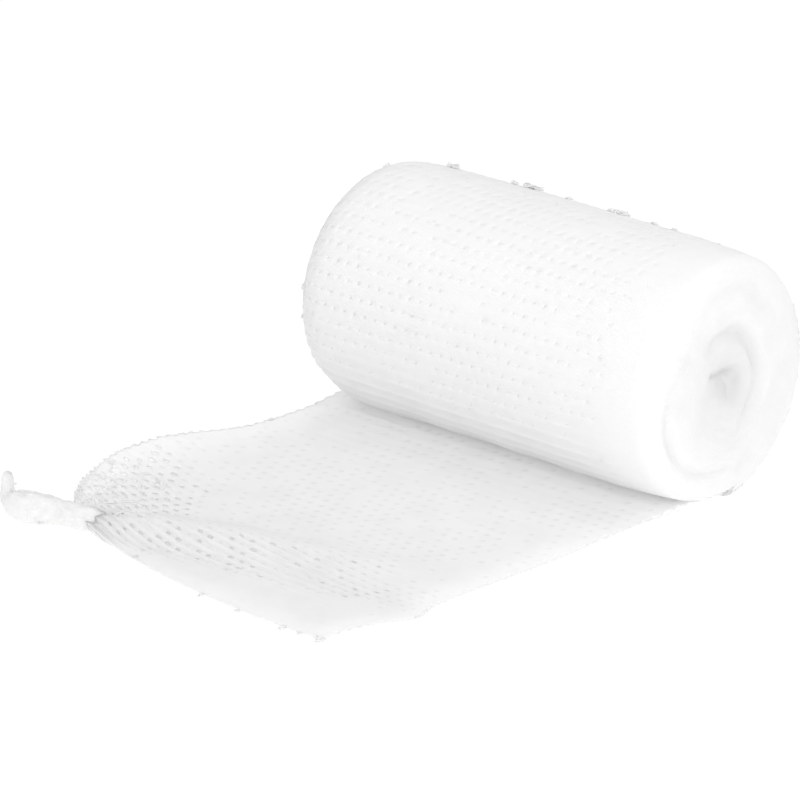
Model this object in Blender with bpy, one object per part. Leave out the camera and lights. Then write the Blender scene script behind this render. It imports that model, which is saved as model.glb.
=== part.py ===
"""A gauze bandage roll: one strip of open gauze, wound up and lying on its side.

The roll's axis runs along X and its end with the coiled face looks to +X. The strip comes out
under the roll and lies on the surface towards -Y. Its far corner, at -X, is gathered and
twisted into a short tip that hooks up. The origin is on the surface, under the roll's middle.

Two solids: the wound roll, with its outer turn coming down the back and ending in a step on
the underside, and the loose end, a sheet that starts in front of that step.
"""
import math
from collections import namedtuple

import bmesh
import bpy
from mathutils import Vector

MM = 0.001

# Driving dimensions
STRIP_THICKNESS = 1.0 * MM
SEAT_GAP = 0.3 * MM

# The wound roll
ROLL_RADIUS = 20.15 * MM
AXIS_HEIGHT = 20.2 * MM
TURN_STEP = STRIP_THICKNESS + SEAT_GAP
STEP_Y = 2.0 * MM
FACE_SAG = 0.5 * MM
COLUMNS = 56
BODY_RINGS = 10
TAPER_RINGS = 3
SHOULDER_RINGS = 8
STEP_FADE = (0.78, 0.90)

# The loose end
SHEET_COLUMNS = 34
SHEET_ROWS = 38
CUT_BOW = 3.1 * MM
FAR_LIFT_STARTS = 0.74
FAR_LIFT_POWER = 1.7
RIDGE_FAR_WIDTH = 8.0 * MM
RIDGE_NEAR_WIDTHS = (4.0 * MM, 13.0 * MM)
WAVE_HEIGHT = 0.35 * MM
WAVES_START = 12.0 * MM
WAVES_FULL = 30.0 * MM

# The gathered tip
TIP_SIDES = 12
TIP_STEPS = 3
TIP_LOBES = 3
TIP_LOBE_DEPTH = 0.12
TIP_TWIST = math.radians(300.0)

# An end of the roll: which way it looks, how far out its face is, how the roll's side tapers
# towards it, and the soft shoulder from the side onto the face.
End = namedtuple(
    "End", "side reach taper_length taper_drop shoulder_length shoulder_drop face_rings dents"
)

# A dent in an end face: a ring at its radius, or the middle where the radius is 0.
Dent = namedtuple("Dent", "radius width depth")

NEAR_END = End(
    side=1,
    reach=38.0 * MM,
    taper_length=9.0 * MM,
    taper_drop=0.5 * MM,
    shoulder_length=3.6 * MM,
    shoulder_drop=4.8 * MM,
    face_rings=14,
    dents=(
        Dent(radius=14.4 * MM, width=1.5 * MM, depth=1.0 * MM),
        Dent(radius=8.3 * MM, width=1.5 * MM, depth=1.4 * MM),
        Dent(radius=0.0, width=2.6 * MM, depth=2.2 * MM),
    ),
)
FAR_END = End(
    side=-1,
    reach=35.5 * MM,
    taper_length=4.0 * MM,
    taper_drop=0.2 * MM,
    shoulder_length=9.0 * MM,
    shoulder_drop=10.0 * MM,
    face_rings=9,
    dents=(
        Dent(radius=7.0 * MM, width=1.6 * MM, depth=0.9 * MM),
        Dent(radius=0.0, width=2.6 * MM, depth=2.0 * MM),
    ),
)

# A slow swell or hollow in the roll's side: waves round it, waves along it, phase and height.
Swell = namedtuple("Swell", "round_waves long_waves phase height")
SWELLS = (
    Swell(round_waves=2, long_waves=0.5, phase=0.6, height=0.22 * MM),
    Swell(round_waves=3, long_waves=1.0, phase=2.1, height=0.14 * MM),
    Swell(round_waves=5, long_waves=1.5, phase=4.0, height=0.08 * MM),
)

# The strip's two edges where it lies loose, from under the roll to the cut end, in millimetres:
# the near edge (+X side), the far edge (-X side) and how high the far edge has lifted.
Station = namedtuple("Station", "near_x near_y far_x far_y far_lift")
STATIONS = (
    Station(36.4, 1.5, -36.0, 1.5, 0.0),
    Station(34.2, -6.0, -36.0, -6.0, 0.0),
    Station(32.2, -14.0, -36.5, -14.0, 0.4),
    Station(31.0, -22.0, -37.4, -22.0, 0.9),
    Station(30.2, -30.0, -38.9, -29.5, 1.8),
    Station(29.0, -37.5, -41.3, -36.5, 3.0),
    Station(27.7, -44.5, -43.2, -43.0, 3.6),
    Station(26.5, -51.0, -44.0, -49.3, 3.6),
    Station(25.7, -57.0, -43.6, -55.0, 3.2),
    Station(26.2, -62.0, -42.3, -60.0, 2.7),
    Station(21.8, -68.5, -40.0, -64.0, 2.1),
    Station(19.6, -76.0, -37.2, -66.8, 1.4),
)

# The fold's crest, from the gathered tip back across the strip, in millimetres.
CrestPoint = namedtuple("CrestPoint", "x y height")
CREST = (
    CrestPoint(-37.5, -67.2, 1.0),
    CrestPoint(-30.0, -66.0, 2.1),
    CrestPoint(-21.0, -62.3, 2.8),
    CrestPoint(-12.0, -59.5, 2.6),
    CrestPoint(-3.0, -57.0, 2.0),
    CrestPoint(6.0, -53.8, 1.3),
    CrestPoint(15.0, -49.0, 0.5),
    CrestPoint(23.0, -43.5, 0.0),
)

# The twisted tip's centre line and half thickness, in millimetres.
TipPoint = namedtuple("TipPoint", "x y z radius")
TIP = (
    TipPoint(-32.5, -65.9, 2.3, 0.9),
    TipPoint(-35.6, -66.9, 2.1, 1.7),
    TipPoint(-38.4, -67.9, 2.0, 1.8),
    TipPoint(-40.5, -69.5, 2.4, 2.3),
    TipPoint(-43.0, -70.8, 2.6, 2.5),
    TipPoint(-45.4, -71.2, 2.6, 2.2),
    TipPoint(-46.9, -71.0, 3.4, 1.4),
    TipPoint(-47.3, -70.8, 5.0, 1.0),
    TipPoint(-47.4, -70.5, 6.3, 0.9),
    TipPoint(-47.2, -70.3, 6.9, 0.5),
)

GAUZE_COLOUR = (0.93, 0.93, 0.92, 1.0)
GAUZE_ROUGHNESS = 0.85
SHARP_ANGLE = math.radians(40.0)


def clear_scene():
    """Remove every object from the scene."""
    for thing in list(bpy.data.objects):
        bpy.data.objects.remove(thing, do_unlink=True)


def gauze_material(name):
    """A soft white cotton."""
    material = bpy.data.materials.new(name)
    material.use_nodes = True
    shader = material.node_tree.nodes["Principled BSDF"]
    shader.inputs["Base Color"].default_value = GAUZE_COLOUR
    shader.inputs["Roughness"].default_value = GAUZE_ROUGHNESS
    shader.inputs["Metallic"].default_value = 0.0
    return material


def smooth_step(low, high, value):
    """0 below low, 1 above high, with a soft rise between them."""
    share = min(max((value - low) / (high - low), 0.0), 1.0)
    return share * share * (3.0 - 2.0 * share)


def along(rows, share):
    """The row at a share of the way down a table, on a smooth curve through its rows."""
    place = share * (len(rows) - 1)
    index = min(int(place), len(rows) - 2)
    t = place - index
    before = rows[max(index - 1, 0)]
    start = rows[index]
    stop = rows[index + 1]
    after = rows[min(index + 2, len(rows) - 1)]
    values = []
    for p0, p1, p2, p3 in zip(before, start, stop, after):
        slope_1 = (p2 - p0) / 2.0
        slope_2 = (p3 - p1) / 2.0
        value = (
            (2.0 * t**3 - 3.0 * t**2 + 1.0) * p1
            + (t**3 - 2.0 * t**2 + t) * slope_1
            + (3.0 * t**2 - 2.0 * t**3) * p2
            + (t**3 - t**2) * slope_2
        )
        values.append(value)
    return type(start)(*values)


def add_object(name, mesh):
    """Link a mesh to the scene as a named object."""
    thing = bpy.data.objects.new(name, mesh)
    bpy.context.scene.collection.objects.link(thing)
    return thing


def finish_mesh(builder, name):
    """Turn a bmesh into a mesh with soft shading."""
    mesh = bpy.data.meshes.new(name)
    builder.to_mesh(mesh)
    builder.free()
    mesh.shade_smooth()
    mesh.set_sharp_from_angle(angle=SHARP_ANGLE)
    return mesh


# The wound roll


def end_rings(end):
    """(x, radius) of an end's rings, from the roll's side to the middle of its face."""
    rings = []
    corner_x = end.reach - end.shoulder_length
    for index in range(1, TAPER_RINGS + 1):
        share = index / (TAPER_RINGS + 1)
        x = corner_x - end.taper_length * (1.0 - share)
        rings.append((end.side * x, ROLL_RADIUS - end.taper_drop * share**2))
    for index in range(SHOULDER_RINGS + 1):
        angle = math.pi / 2.0 * index / SHOULDER_RINGS
        x = corner_x + end.shoulder_length * math.sin(angle)
        radius = ROLL_RADIUS - end.taper_drop - end.shoulder_drop * (1.0 - math.cos(angle))
        rings.append((end.side * x, radius))
    face_radius = ROLL_RADIUS - end.taper_drop - end.shoulder_drop
    for index in range(1, end.face_rings):
        rings.append((end.side * end.reach, face_radius * (1.0 - index / end.face_rings)))
    return rings


def side_rings():
    """(x, radius) of the rings along the roll's side, from the far end to the near one."""
    start = -(FAR_END.reach - FAR_END.shoulder_length - FAR_END.taper_length)
    stop = NEAR_END.reach - NEAR_END.shoulder_length - NEAR_END.taper_length
    span = (stop - start) / BODY_RINGS
    return [(start + span * index, ROLL_RADIUS) for index in range(BODY_RINGS + 1)]


def face_dent(end, y, z):
    """How far an end face is pressed in at a place, by the rings of its coils."""
    radius = math.hypot(y, z - (AXIS_HEIGHT - FACE_SAG))
    depth = 0.0
    for dent in end.dents:
        depth += dent.depth * math.exp(-(((radius - dent.radius) / dent.width) ** 2))
    return depth


def swell(angle, x):
    """The slow unevenness of the roll's side."""
    total = 0.0
    for wave in SWELLS:
        round_part = math.sin(wave.round_waves * angle + wave.phase)
        long_part = math.cos(wave.long_waves * math.pi * x / NEAR_END.reach + wave.phase)
        total += wave.height * round_part * long_part
    return total


def roll_point(ring, turn):
    """A point of the roll's skin. turn runs from 0, at the step, up the back to 1."""
    x, radius = ring
    share = radius / ROLL_RADIUS
    outer = smooth_step(*STEP_FADE, share)
    start_angle = math.asin(STEP_Y / (AXIS_HEIGHT + TURN_STEP / 2.0))
    angle = start_angle + 2.0 * math.pi * turn
    radius += outer * (TURN_STEP * (0.5 - turn) + swell(angle, x))
    y = radius * math.sin(angle)
    z = AXIS_HEIGHT - radius * math.cos(angle)
    end = NEAR_END if x > 0.0 else FAR_END
    face = smooth_step(0.0, end.shoulder_length, abs(x) - (end.reach - end.shoulder_length))
    x -= end.side * face * face_dent(end, y, z)
    floor = 0.0 if turn < 0.5 else TURN_STEP
    return Vector((x, y, max(z, floor)))


def build_roll():
    """The wound part as one solid, with its step and its flat underside."""
    rings = end_rings(FAR_END)[::-1] + side_rings() + end_rings(NEAR_END)
    builder = bmesh.new()
    columns = []
    for column in range(COLUMNS):
        points = [roll_point(ring, column / COLUMNS) for ring in rings]
        columns.append([builder.verts.new(point) for point in points])
    last = []
    for ring, first_vertex in zip(rings, columns[0]):
        stepped = smooth_step(*STEP_FADE, ring[1] / ROLL_RADIUS) > 0.0
        last.append(builder.verts.new(roll_point(ring, 1.0)) if stepped else first_vertex)
    columns.append(last)
    for before, after in zip(columns, columns[1:]):
        for index in range(len(rings) - 1):
            builder.faces.new((before[index], before[index + 1], after[index + 1], after[index]))
    for index in range(len(rings) - 1):
        corners = (last[index], last[index + 1], columns[0][index + 1], columns[0][index])
        distinct = list(dict.fromkeys(corners))
        if len(distinct) > 2:
            builder.faces.new(distinct)
    for end, index in ((FAR_END, 0), (NEAR_END, -1)):
        rim = [column[index] for column in columns[:-1]]
        middle_z = AXIS_HEIGHT - FACE_SAG
        middle_x = end.side * (end.reach - face_dent(end, 0.0, middle_z))
        middle = builder.verts.new((middle_x, 0.0, AXIS_HEIGHT))
        for first, second in zip(rim, rim[1:] + rim[:1]):
            builder.faces.new((first, second, middle))
    bmesh.ops.recalc_face_normals(builder, faces=builder.faces[:])
    roll = add_object("wound_roll", finish_mesh(builder, "wound_roll"))
    roll.data.materials.append(gauze_material("wound_gauze"))
    return roll


# The loose end


def crest_lift(x, y):
    """How high the fold raises the strip at a place."""
    best = None
    last = len(CREST) - 1
    for index in range(last):
        start = CREST[index]
        stop = CREST[index + 1]
        run = Vector((stop.x - start.x, stop.y - start.y))
        offset = Vector((x / MM - start.x, y / MM - start.y))
        share = min(max(offset.dot(run) / run.length_squared, 0.0), 1.0)
        away = offset - run * share
        if best is None or away.length < best[0]:
            height = start.height + (stop.height - start.height) * share
            near_side = run.cross(away) < 0.0
            best = (away.length, height, near_side, (index + share) / last)
    distance, height, near_side, progress = best
    width = RIDGE_FAR_WIDTH
    if near_side:
        low, high = RIDGE_NEAR_WIDTHS
        width = low + (high - low) * progress
    slope = max(1.0 - distance * MM / width, 0.0)
    return height * MM * slope * slope * (3.0 - 2.0 * slope)


def wave_lift(x, y, across):
    """The strip's slight waves, none under the roll, along its edges or at the cut end."""
    fade = smooth_step(WAVES_START, WAVES_FULL, -y)
    edges = math.sin(math.pi * across) ** 2
    wave = math.sin(x / (5.2 * MM) + y / (9.0 * MM)) * math.sin(y / (7.5 * MM) + 1.0)
    return WAVE_HEIGHT * fade * edges * (0.5 + 0.5 * wave)


def sheet_point(across, down):
    """A point of the strip's underside: across runs near to far, down runs roll to cut end."""
    station = along(STATIONS, down)
    x = (station.near_x + (station.far_x - station.near_x) * across) * MM
    y = (station.near_y + (station.far_y - station.near_y) * across) * MM
    y -= CUT_BOW * 4.0 * across * (1.0 - across) * down**4
    edge = max((across - FAR_LIFT_STARTS) / (1.0 - FAR_LIFT_STARTS), 0.0)
    far_lift = max(station.far_lift, 0.0) * MM * edge**FAR_LIFT_POWER
    fold = crest_lift(x, y) * smooth_step(WAVES_START, WAVES_FULL, -y)
    return Vector((x, y, max(far_lift, fold) + wave_lift(x, y, across)))


def build_tip():
    """The gathered corner, twisted into a short strand with a hooked end."""
    steps = (len(TIP) - 1) * TIP_STEPS
    spine = [along(TIP, step / steps) for step in range(steps + 1)]
    centres = [Vector((point.x, point.y, point.z)) * MM for point in spine]
    builder = bmesh.new()
    rings = []
    side = Vector((0.0, 0.0, 1.0))
    for index, point in enumerate(spine):
        ahead = centres[min(index + 1, steps)] - centres[max(index - 1, 0)]
        ahead.normalize()
        side = (side - ahead * side.dot(ahead)).normalized()
        other = ahead.cross(side)
        ring = []
        for number in range(TIP_SIDES):
            angle = 2.0 * math.pi * number / TIP_SIDES
            twist = TIP_TWIST * index / steps
            lobe = 1.0 + TIP_LOBE_DEPTH * math.cos(TIP_LOBES * angle + twist)
            radius = point.radius * MM * lobe
            place = centres[index] + (side * math.cos(angle) + other * math.sin(angle)) * radius
            place.z = max(place.z, 0.0)
            ring.append(builder.verts.new(place))
        rings.append(ring)
    for before, after in zip(rings, rings[1:]):
        loops = ring_edges(builder, before) + ring_edges(builder, after)
        bmesh.ops.bridge_loops(builder, edges=loops)
    builder.faces.new(rings[0])
    builder.faces.new(rings[-1])
    bmesh.ops.recalc_face_normals(builder, faces=builder.faces[:])
    tip = add_object("tip_shape", finish_mesh(builder, "tip_shape"))
    tip.hide_render = True
    tip.display_type = "WIRE"
    return tip


def ring_edges(builder, ring):
    """The edges that close a ring of vertices, made where they are missing."""
    edges = []
    for first, second in zip(ring, ring[1:] + ring[:1]):
        edge = builder.edges.get((first, second))
        edges.append(edge or builder.edges.new((first, second)))
    return edges


def build_loose_end():
    """The strip's loose end as one solid: the sheet, thickened, with its twisted tip joined."""
    builder = bmesh.new()
    bmesh.ops.create_grid(builder, x_segments=SHEET_COLUMNS, y_segments=SHEET_ROWS, size=0.5)
    for vertex in builder.verts:
        vertex.co = sheet_point(vertex.co.x + 0.5, vertex.co.y + 0.5)
    sheet = add_object("loose_end", finish_mesh(builder, "loose_end"))
    sheet.data.materials.append(gauze_material("loose_gauze"))
    thicken = sheet.modifiers.new("thickness", "SOLIDIFY")
    thicken.thickness = STRIP_THICKNESS
    thicken.offset = 1.0
    join = sheet.modifiers.new("tip", "BOOLEAN")
    join.operation = "UNION"
    join.solver = "EXACT"
    join.object = build_tip()
    return sheet


clear_scene()
build_roll()
build_loose_end()
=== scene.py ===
# %% [markdown]
# # A gauze bandage roll
# The real thing is one long strip of open cotton gauze, wound up tight and lying on its side.
# The last stretch of the strip lies loose in front, and its far corner is gathered and twisted
# into a short tip. Everything here is made in metres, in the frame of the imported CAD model.

# %% Load the frame
import math
import random
from collections import namedtuple

import bmesh
import bpy
from mathutils import Matrix, Vector, noise
from mathutils.bvhtree import BVHTree


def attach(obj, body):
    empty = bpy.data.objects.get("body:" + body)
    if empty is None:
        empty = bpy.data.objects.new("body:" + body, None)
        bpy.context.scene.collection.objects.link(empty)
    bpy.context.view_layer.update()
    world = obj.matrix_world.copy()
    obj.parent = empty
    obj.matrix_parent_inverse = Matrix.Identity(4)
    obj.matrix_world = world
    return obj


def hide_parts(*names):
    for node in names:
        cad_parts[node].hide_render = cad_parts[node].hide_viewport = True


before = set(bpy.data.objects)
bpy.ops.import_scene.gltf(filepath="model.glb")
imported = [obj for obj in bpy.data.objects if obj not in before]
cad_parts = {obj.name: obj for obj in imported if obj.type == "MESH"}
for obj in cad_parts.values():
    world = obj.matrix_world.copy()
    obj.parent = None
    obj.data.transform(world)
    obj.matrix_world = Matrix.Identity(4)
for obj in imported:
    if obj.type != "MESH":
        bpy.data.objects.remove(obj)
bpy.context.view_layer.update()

MM = 0.001
FULL_TURN = 2.0 * math.pi
print("CAD nodes:", sorted(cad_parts))

# %% [markdown]
# ## Camera
# A product photograph of a small thing is taken from far away with a long lens, so parallel
# edges stay nearly parallel. The camera looks down at 23 degrees from the roll's near end. It
# stands straight opposite the roll's middle and is then turned a little, down and to the left,
# until the loose end is in the frame too. That keeps the roll's perspective and needs no shift.

# %% The camera
AZIMUTH = math.radians(38.0)
ELEVATION = math.radians(23.0)
CAMERA_DISTANCE = 1013.98 * MM
SENSOR_WIDTH = 36.0
FOCAL_LENGTH = 292.5
TURN_LEFT = 0.020715
TURN_DOWN = 0.011292
FARTHEST_SEEN = 20.0
ROLL_MIDDLE = Vector((0.0, 0.0, 20.0 * MM))


def camera_directions():
    """The unit vectors from the roll to the camera and to the right and up of its picture."""
    back = Vector((
        math.sin(AZIMUTH) * math.cos(ELEVATION),
        -math.cos(AZIMUTH) * math.cos(ELEVATION),
        math.sin(ELEVATION),
    ))
    right = Vector((math.cos(AZIMUTH), math.sin(AZIMUTH), 0.0))
    return back, right, back.cross(right)


def make_camera():
    """A long lens that sees the bandage as it lies."""
    back, right, up = camera_directions()
    lens = bpy.data.cameras.new("camera")
    lens.sensor_width = SENSOR_WIDTH
    lens.lens = FOCAL_LENGTH
    lens.clip_end = FARTHEST_SEEN
    camera = bpy.data.objects.new("camera", lens)
    turned = (back + right * TURN_LEFT + up * TURN_DOWN).normalized()
    side = (right - turned * right.dot(turned)).normalized()
    axes = Matrix((side, turned.cross(side), turned)).transposed()
    place = ROLL_MIDDLE + back * CAMERA_DISTANCE
    camera.matrix_world = Matrix.Translation(place) @ axes.to_4x4()
    bpy.context.scene.collection.objects.link(camera)
    bpy.context.scene.camera = camera
    return camera


camera = make_camera()
print("camera at", [round(value, 3) for value in camera.location])

# %% [markdown]
# ## A little node arithmetic
# Every tree below, for shapes and for the finish, is built in code. `Field` wraps a node's output
# so that ordinary arithmetic writes Math nodes, which keeps a formula on one readable line.

# %% Helpers for node trees


def plug(tree, socket, value):
    """Link a field to a socket, or set the socket to a plain value."""
    if isinstance(value, Field):
        tree.links.new(value.socket, socket)
    else:
        socket.default_value = value


class Field:
    """A node's output that can be reckoned with like a number."""

    def __init__(self, tree, socket):
        self.tree = tree
        self.socket = socket

    def reckon(self, operation, *others):
        """This field and others, through one Math node."""
        node = self.tree.nodes.new("ShaderNodeMath")
        node.operation = operation
        for place, value in enumerate((self, *others)):
            plug(self.tree, node.inputs[place], value)
        return Field(self.tree, node.outputs[0])

    def vector(self, operation, other):
        """This vector and another, through one Vector Math node."""
        node = self.tree.nodes.new("ShaderNodeVectorMath")
        node.operation = operation
        plug(self.tree, node.inputs[0], self)
        if operation == "SCALE":
            plug(self.tree, node.inputs["Scale"], other)
        elif other is not None:
            plug(self.tree, node.inputs[1], other)
        return Field(self.tree, node.outputs["Vector"])

    def __add__(self, other):
        return self.reckon("ADD", other)

    def __sub__(self, other):
        return self.reckon("SUBTRACT", other)

    def __rsub__(self, other):
        return (self * -1.0).reckon("ADD", other)

    def __mul__(self, other):
        return self.reckon("MULTIPLY", other)

    def __truediv__(self, other):
        return self.reckon("DIVIDE", other)

    __radd__ = __add__
    __rmul__ = __mul__


def add_node(tree, kind, inputs=(), **settings):
    """A new node with its settings made and its inputs plugged in; gives back its outputs."""
    node = tree.nodes.new(kind)
    for name, value in settings.items():
        setattr(node, name, value)
    for name, value in dict(inputs).items():
        socket = next(s for s in node.inputs if s.enabled and s.name == name)
        plug(tree, socket, value)
    outputs = [Field(tree, socket) for socket in node.outputs if socket.enabled]
    return outputs[0] if len(outputs) == 1 else outputs


def soft_rise(tree, value, low, high, start=0.0, stop=1.0):
    """start below low, stop above high, with a soft rise between them."""
    inputs = {"Value": value, "From Min": low, "From Max": high, "To Min": start, "To Max": stop}
    return add_node(tree, "ShaderNodeMapRange", inputs, interpolation_type="SMOOTHSTEP")


def join_xyz(tree, x, y, z=0.0):
    """A vector from three fields or numbers."""
    return add_node(tree, "ShaderNodeCombineXYZ", {"X": x, "Y": y, "Z": z})


def soft_noise(tree, place, scale, detail=1.0):
    """Smooth noise about 0, from -0.5 to 0.5."""
    inputs = {"Vector": place, "Scale": scale, "Detail": detail}
    return add_node(tree, "ShaderNodeTexNoise", inputs)[0] - 0.5


def named(tree, name, kind="FLOAT"):
    """What a mesh carries under a name."""
    return add_node(tree, "GeometryNodeInputNamedAttribute", {"Name": name}, data_type=kind)[0]


def store(tree, geometry, name, value, kind="FLOAT_VECTOR", domain="POINT"):
    """The geometry with a value stored on it under a name."""
    inputs = {"Geometry": geometry, "Name": name, "Value": value}
    return add_node(
        tree, "GeometryNodeStoreNamedAttribute", inputs, data_type=kind, domain=domain
    )


def by_chance(tree, seed, low=0.0, high=1.0, **number):
    """Chance between low and high, one for each ID, or for each point where there is none."""
    inputs = {"Min": low, "Max": high, "Seed": seed, **number}
    return add_node(tree, "FunctionNodeRandomValue", inputs, data_type="FLOAT")


# %% Building and running a shape tree
SOCKET_KINDS = {float: "NodeSocketFloat", int: "NodeSocketInt"}


def new_shape_tree(name, sizes):
    """A Geometry Nodes tree with named inputs; gives it and its inputs as fields."""
    tree = bpy.data.node_groups.new(name, "GeometryNodeTree")
    tree.interface.new_socket("Geometry", in_out="INPUT", socket_type="NodeSocketGeometry")
    for label, value in sizes.items():
        kind = SOCKET_KINDS.get(type(value), "NodeSocketMaterial")
        socket = tree.interface.new_socket(label, in_out="INPUT", socket_type=kind)
        socket.default_value = value
    tree.interface.new_socket("Geometry", in_out="OUTPUT", socket_type="NodeSocketGeometry")
    start = tree.nodes.new("NodeGroupInput")
    fields = {s.name: Field(tree, s) for s in start.outputs if s.name}
    return tree, fields


def end_shape_tree(tree, geometry, material):
    """Realize Instances, Set Material and the tree's output."""
    real = add_node(tree, "GeometryNodeRealizeInstances", {"Geometry": geometry})
    made = add_node(
        tree, "GeometryNodeSetMaterial", {"Geometry": real, "Material": material}
    )
    finish = tree.nodes.new("NodeGroupOutput")
    tree.links.new(made.socket, finish.inputs["Geometry"])


def run_tree(thing, tree, **sizes):
    """Run a tree on an object with its named inputs set, and keep the result as plain mesh."""
    modifier = thing.modifiers.new("shape", "NODES")
    modifier.node_group = tree
    known = {item.name: item.identifier for item in tree.interface.items_tree}
    for label, value in sizes.items():
        modifier[known[label.replace("_", " ")]] = value
    graph = bpy.context.evaluated_depsgraph_get()
    mesh = bpy.data.meshes.new_from_object(
        thing.evaluated_get(graph), preserve_all_data_layers=True, depsgraph=graph
    )
    thing.modifiers.remove(modifier)
    mesh.materials.clear()
    mesh.materials.append(sizes["Material"])
    mesh.polygons.foreach_set("material_index", [0] * len(mesh.polygons))
    return mesh


# %% Helpers for meshes


def add_piece(name, mesh):
    """Link a mesh to the scene as a named object."""
    mesh.name = name
    thing = bpy.data.objects.new(name, mesh)
    bpy.context.scene.collection.objects.link(thing)
    return thing


def triangles(mesh):
    """How many triangles a mesh has."""
    return sum(len(face.vertices) - 2 for face in mesh.polygons)


def put_numbers(mesh, name, values):
    """Store one number a point on a mesh."""
    mesh.attributes.new(name, "FLOAT", "POINT").data.foreach_set("value", values)


def plain_sheet(name, across, down, spot):
    """A mesh of across by down faces from what spot(u, v) gives, and those spots."""
    spots = []
    for row in range(down + 1):
        for column in range(across + 1):
            spots.append(spot(column / across, row / down))
    faces = []
    wide = across + 1
    for row in range(down):
        for column in range(across):
            first = row * wide + column
            faces.append((first, first + 1, first + 1 + wide, first + wide))
    mesh = bpy.data.meshes.new(name)
    mesh.from_pydata([here.place for here in spots], [], faces)
    return mesh, spots


def join_rings(builder, before, after):
    """A band of smooth faces between two rings of as many points."""
    for number in range(len(before)):
        beyond = (number + 1) % len(before)
        corners = (before[number], before[beyond], after[beyond], after[number])
        builder.faces.new(corners).smooth = True


def close_ring(builder, ring, centre):
    """A fan of smooth faces from a ring to one point."""
    middle = builder.verts.new(centre)
    for number in range(len(ring)):
        builder.faces.new((ring[number], ring[(number + 1) % len(ring)], middle)).smooth = True


def new_material(name, roughness, specular):
    """A material and its shader, with how rough it is and how much it shines."""
    material = bpy.data.materials.new(name)
    material.use_nodes = True
    shader = material.node_tree.nodes["Principled BSDF"]
    shader.inputs["Roughness"].default_value = roughness
    shader.inputs["Specular IOR Level"].default_value = specular
    return material, shader


# %% Helpers for smooth forms


def smooth_step(low, high, value):
    """0 below low, 1 above high, with a soft rise between them."""
    share = min(max((value - low) / (high - low), 0.0), 1.0)
    return share * share * (3.0 - 2.0 * share)


def along(rows, share):
    """The row at a share of the way down a table, on a smooth curve through its rows."""
    place = share * (len(rows) - 1)
    index = min(int(place), len(rows) - 2)
    t = place - index
    before = rows[max(index - 1, 0)]
    start = rows[index]
    stop = rows[index + 1]
    after = rows[min(index + 2, len(rows) - 1)]
    values = []
    for p0, p1, p2, p3 in zip(before, start, stop, after):
        slope_1 = (p2 - p0) / 2.0
        slope_2 = (p3 - p1) / 2.0
        values.append(
            (2.0 * t**3 - 3.0 * t**2 + 1.0) * p1
            + (t**3 - 2.0 * t**2 + t) * slope_1
            + (3.0 * t**2 - 2.0 * t**3) * p2
            + (t**3 - t**2) * slope_2
        )
    return type(start)(*values)


print("helpers ready")

# %% [markdown]
# ## The finish: bleached cotton
# Bleached cotton is white nearly all through: it hardly shines, light goes a little way into it,
# and a single layer looks a little greyer than the wound roll. Its colour is never quite even.
# The yarns are too fine to model one by one over the whole strip, so they are a bump that follows
# the weave by the `cell` attribute that the weave tree leaves on the cloth, and fibres are a finer
# noise. The tree's `thin` attribute marks pits and the hollows between ribs, and there the cotton
# is darkened as painted shade, for the shade that lies in them and shows through them.
# Loose threads are so thin that light going into them would be lost, so theirs stays outside.

# %% The cotton material
ROLL_LIGHT_DEPTH = 2.5 * MM
CLOTH_LIGHT_DEPTH = 1.5 * MM
COTTON_ROUGHNESS = 0.92
COTTON_SHINE = 0.2
WARMTH = 0.996
PATCH_SCALE = 160.0
PATCH_RANGE = (0.35, 0.6)
FIBRE_SCALE = 5200.0
YARN_WANDER_SCALE = 900.0
YARN_WANDER = 5.0
YARNS_A_CELL = 7.0
YARN_BUMP = 0.012 * MM
FIBRE_BUMP = 0.02 * MM


def cotton(name, white, patch_shade, hollow_shade, light_depth):
    """White cotton: how white it is, the share of that in its patches and in the painted shade of
    its pits and hollows, and how deep light goes into it."""
    material, shader = new_material(name, COTTON_ROUGHNESS, COTTON_SHINE)
    tree = material.node_tree
    shader.inputs["Subsurface Weight"].default_value = 1.0 if light_depth > 0.0 else 0.0
    shader.inputs["Subsurface Radius"].default_value = (1.0, 1.0, 1.0)
    shader.inputs["Subsurface Scale"].default_value = light_depth
    place = add_node(tree, "ShaderNodeTexCoord")[3]
    cell = add_node(tree, "ShaderNodeAttribute", attribute_name="cell")[1]
    thin = add_node(tree, "ShaderNodeAttribute", attribute_name="thin")[2]

    # The colour: random patches of tone, and painted shade in the pits and hollows that `thin`
    # marks.
    noise_inputs = {"Vector": place, "Scale": PATCH_SCALE, "Detail": 3.0}
    patches = add_node(tree, "ShaderNodeTexNoise", noise_inputs)[0]
    lightness = soft_rise(tree, patches, *PATCH_RANGE, white * patch_shade, white)
    # Painted shade: the colour drops where the weave's `thin` attribute marks pits and hollows.
    lightness = lightness * (1.0 - thin * (1.0 - hollow_shade))
    colour = join_xyz(tree, lightness, lightness, lightness * WARMTH)
    plug(tree, shader.inputs["Base Color"], colour)

    # The yarns and the fibres, as a bump.
    noise_inputs = {"Vector": place, "Scale": FIBRE_SCALE, "Detail": 4.0, "Roughness": 0.65}
    fibres = add_node(tree, "ShaderNodeTexNoise", noise_inputs)[0]
    across, down, _ = add_node(tree, "ShaderNodeSeparateXYZ", {"Vector": cell})
    wander = soft_noise(tree, place, YARN_WANDER_SCALE) * YARN_WANDER
    weft = (down * (YARNS_A_CELL * FULL_TURN) + wander).reckon("SINE")
    warp = (across * (YARNS_A_CELL * FULL_TURN) + wander).reckon("SINE")
    height = fibres * (FIBRE_BUMP / MM) + (weft + warp * 0.6) * (YARN_BUMP / MM)
    bump_inputs = {"Strength": 1.0, "Distance": MM, "Height": height}
    plug(tree, shader.inputs["Normal"], add_node(tree, "ShaderNodeBump", bump_inputs))
    return material


# The fourth number is the share of colour left in the painted shade of pits and hollows.
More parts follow.
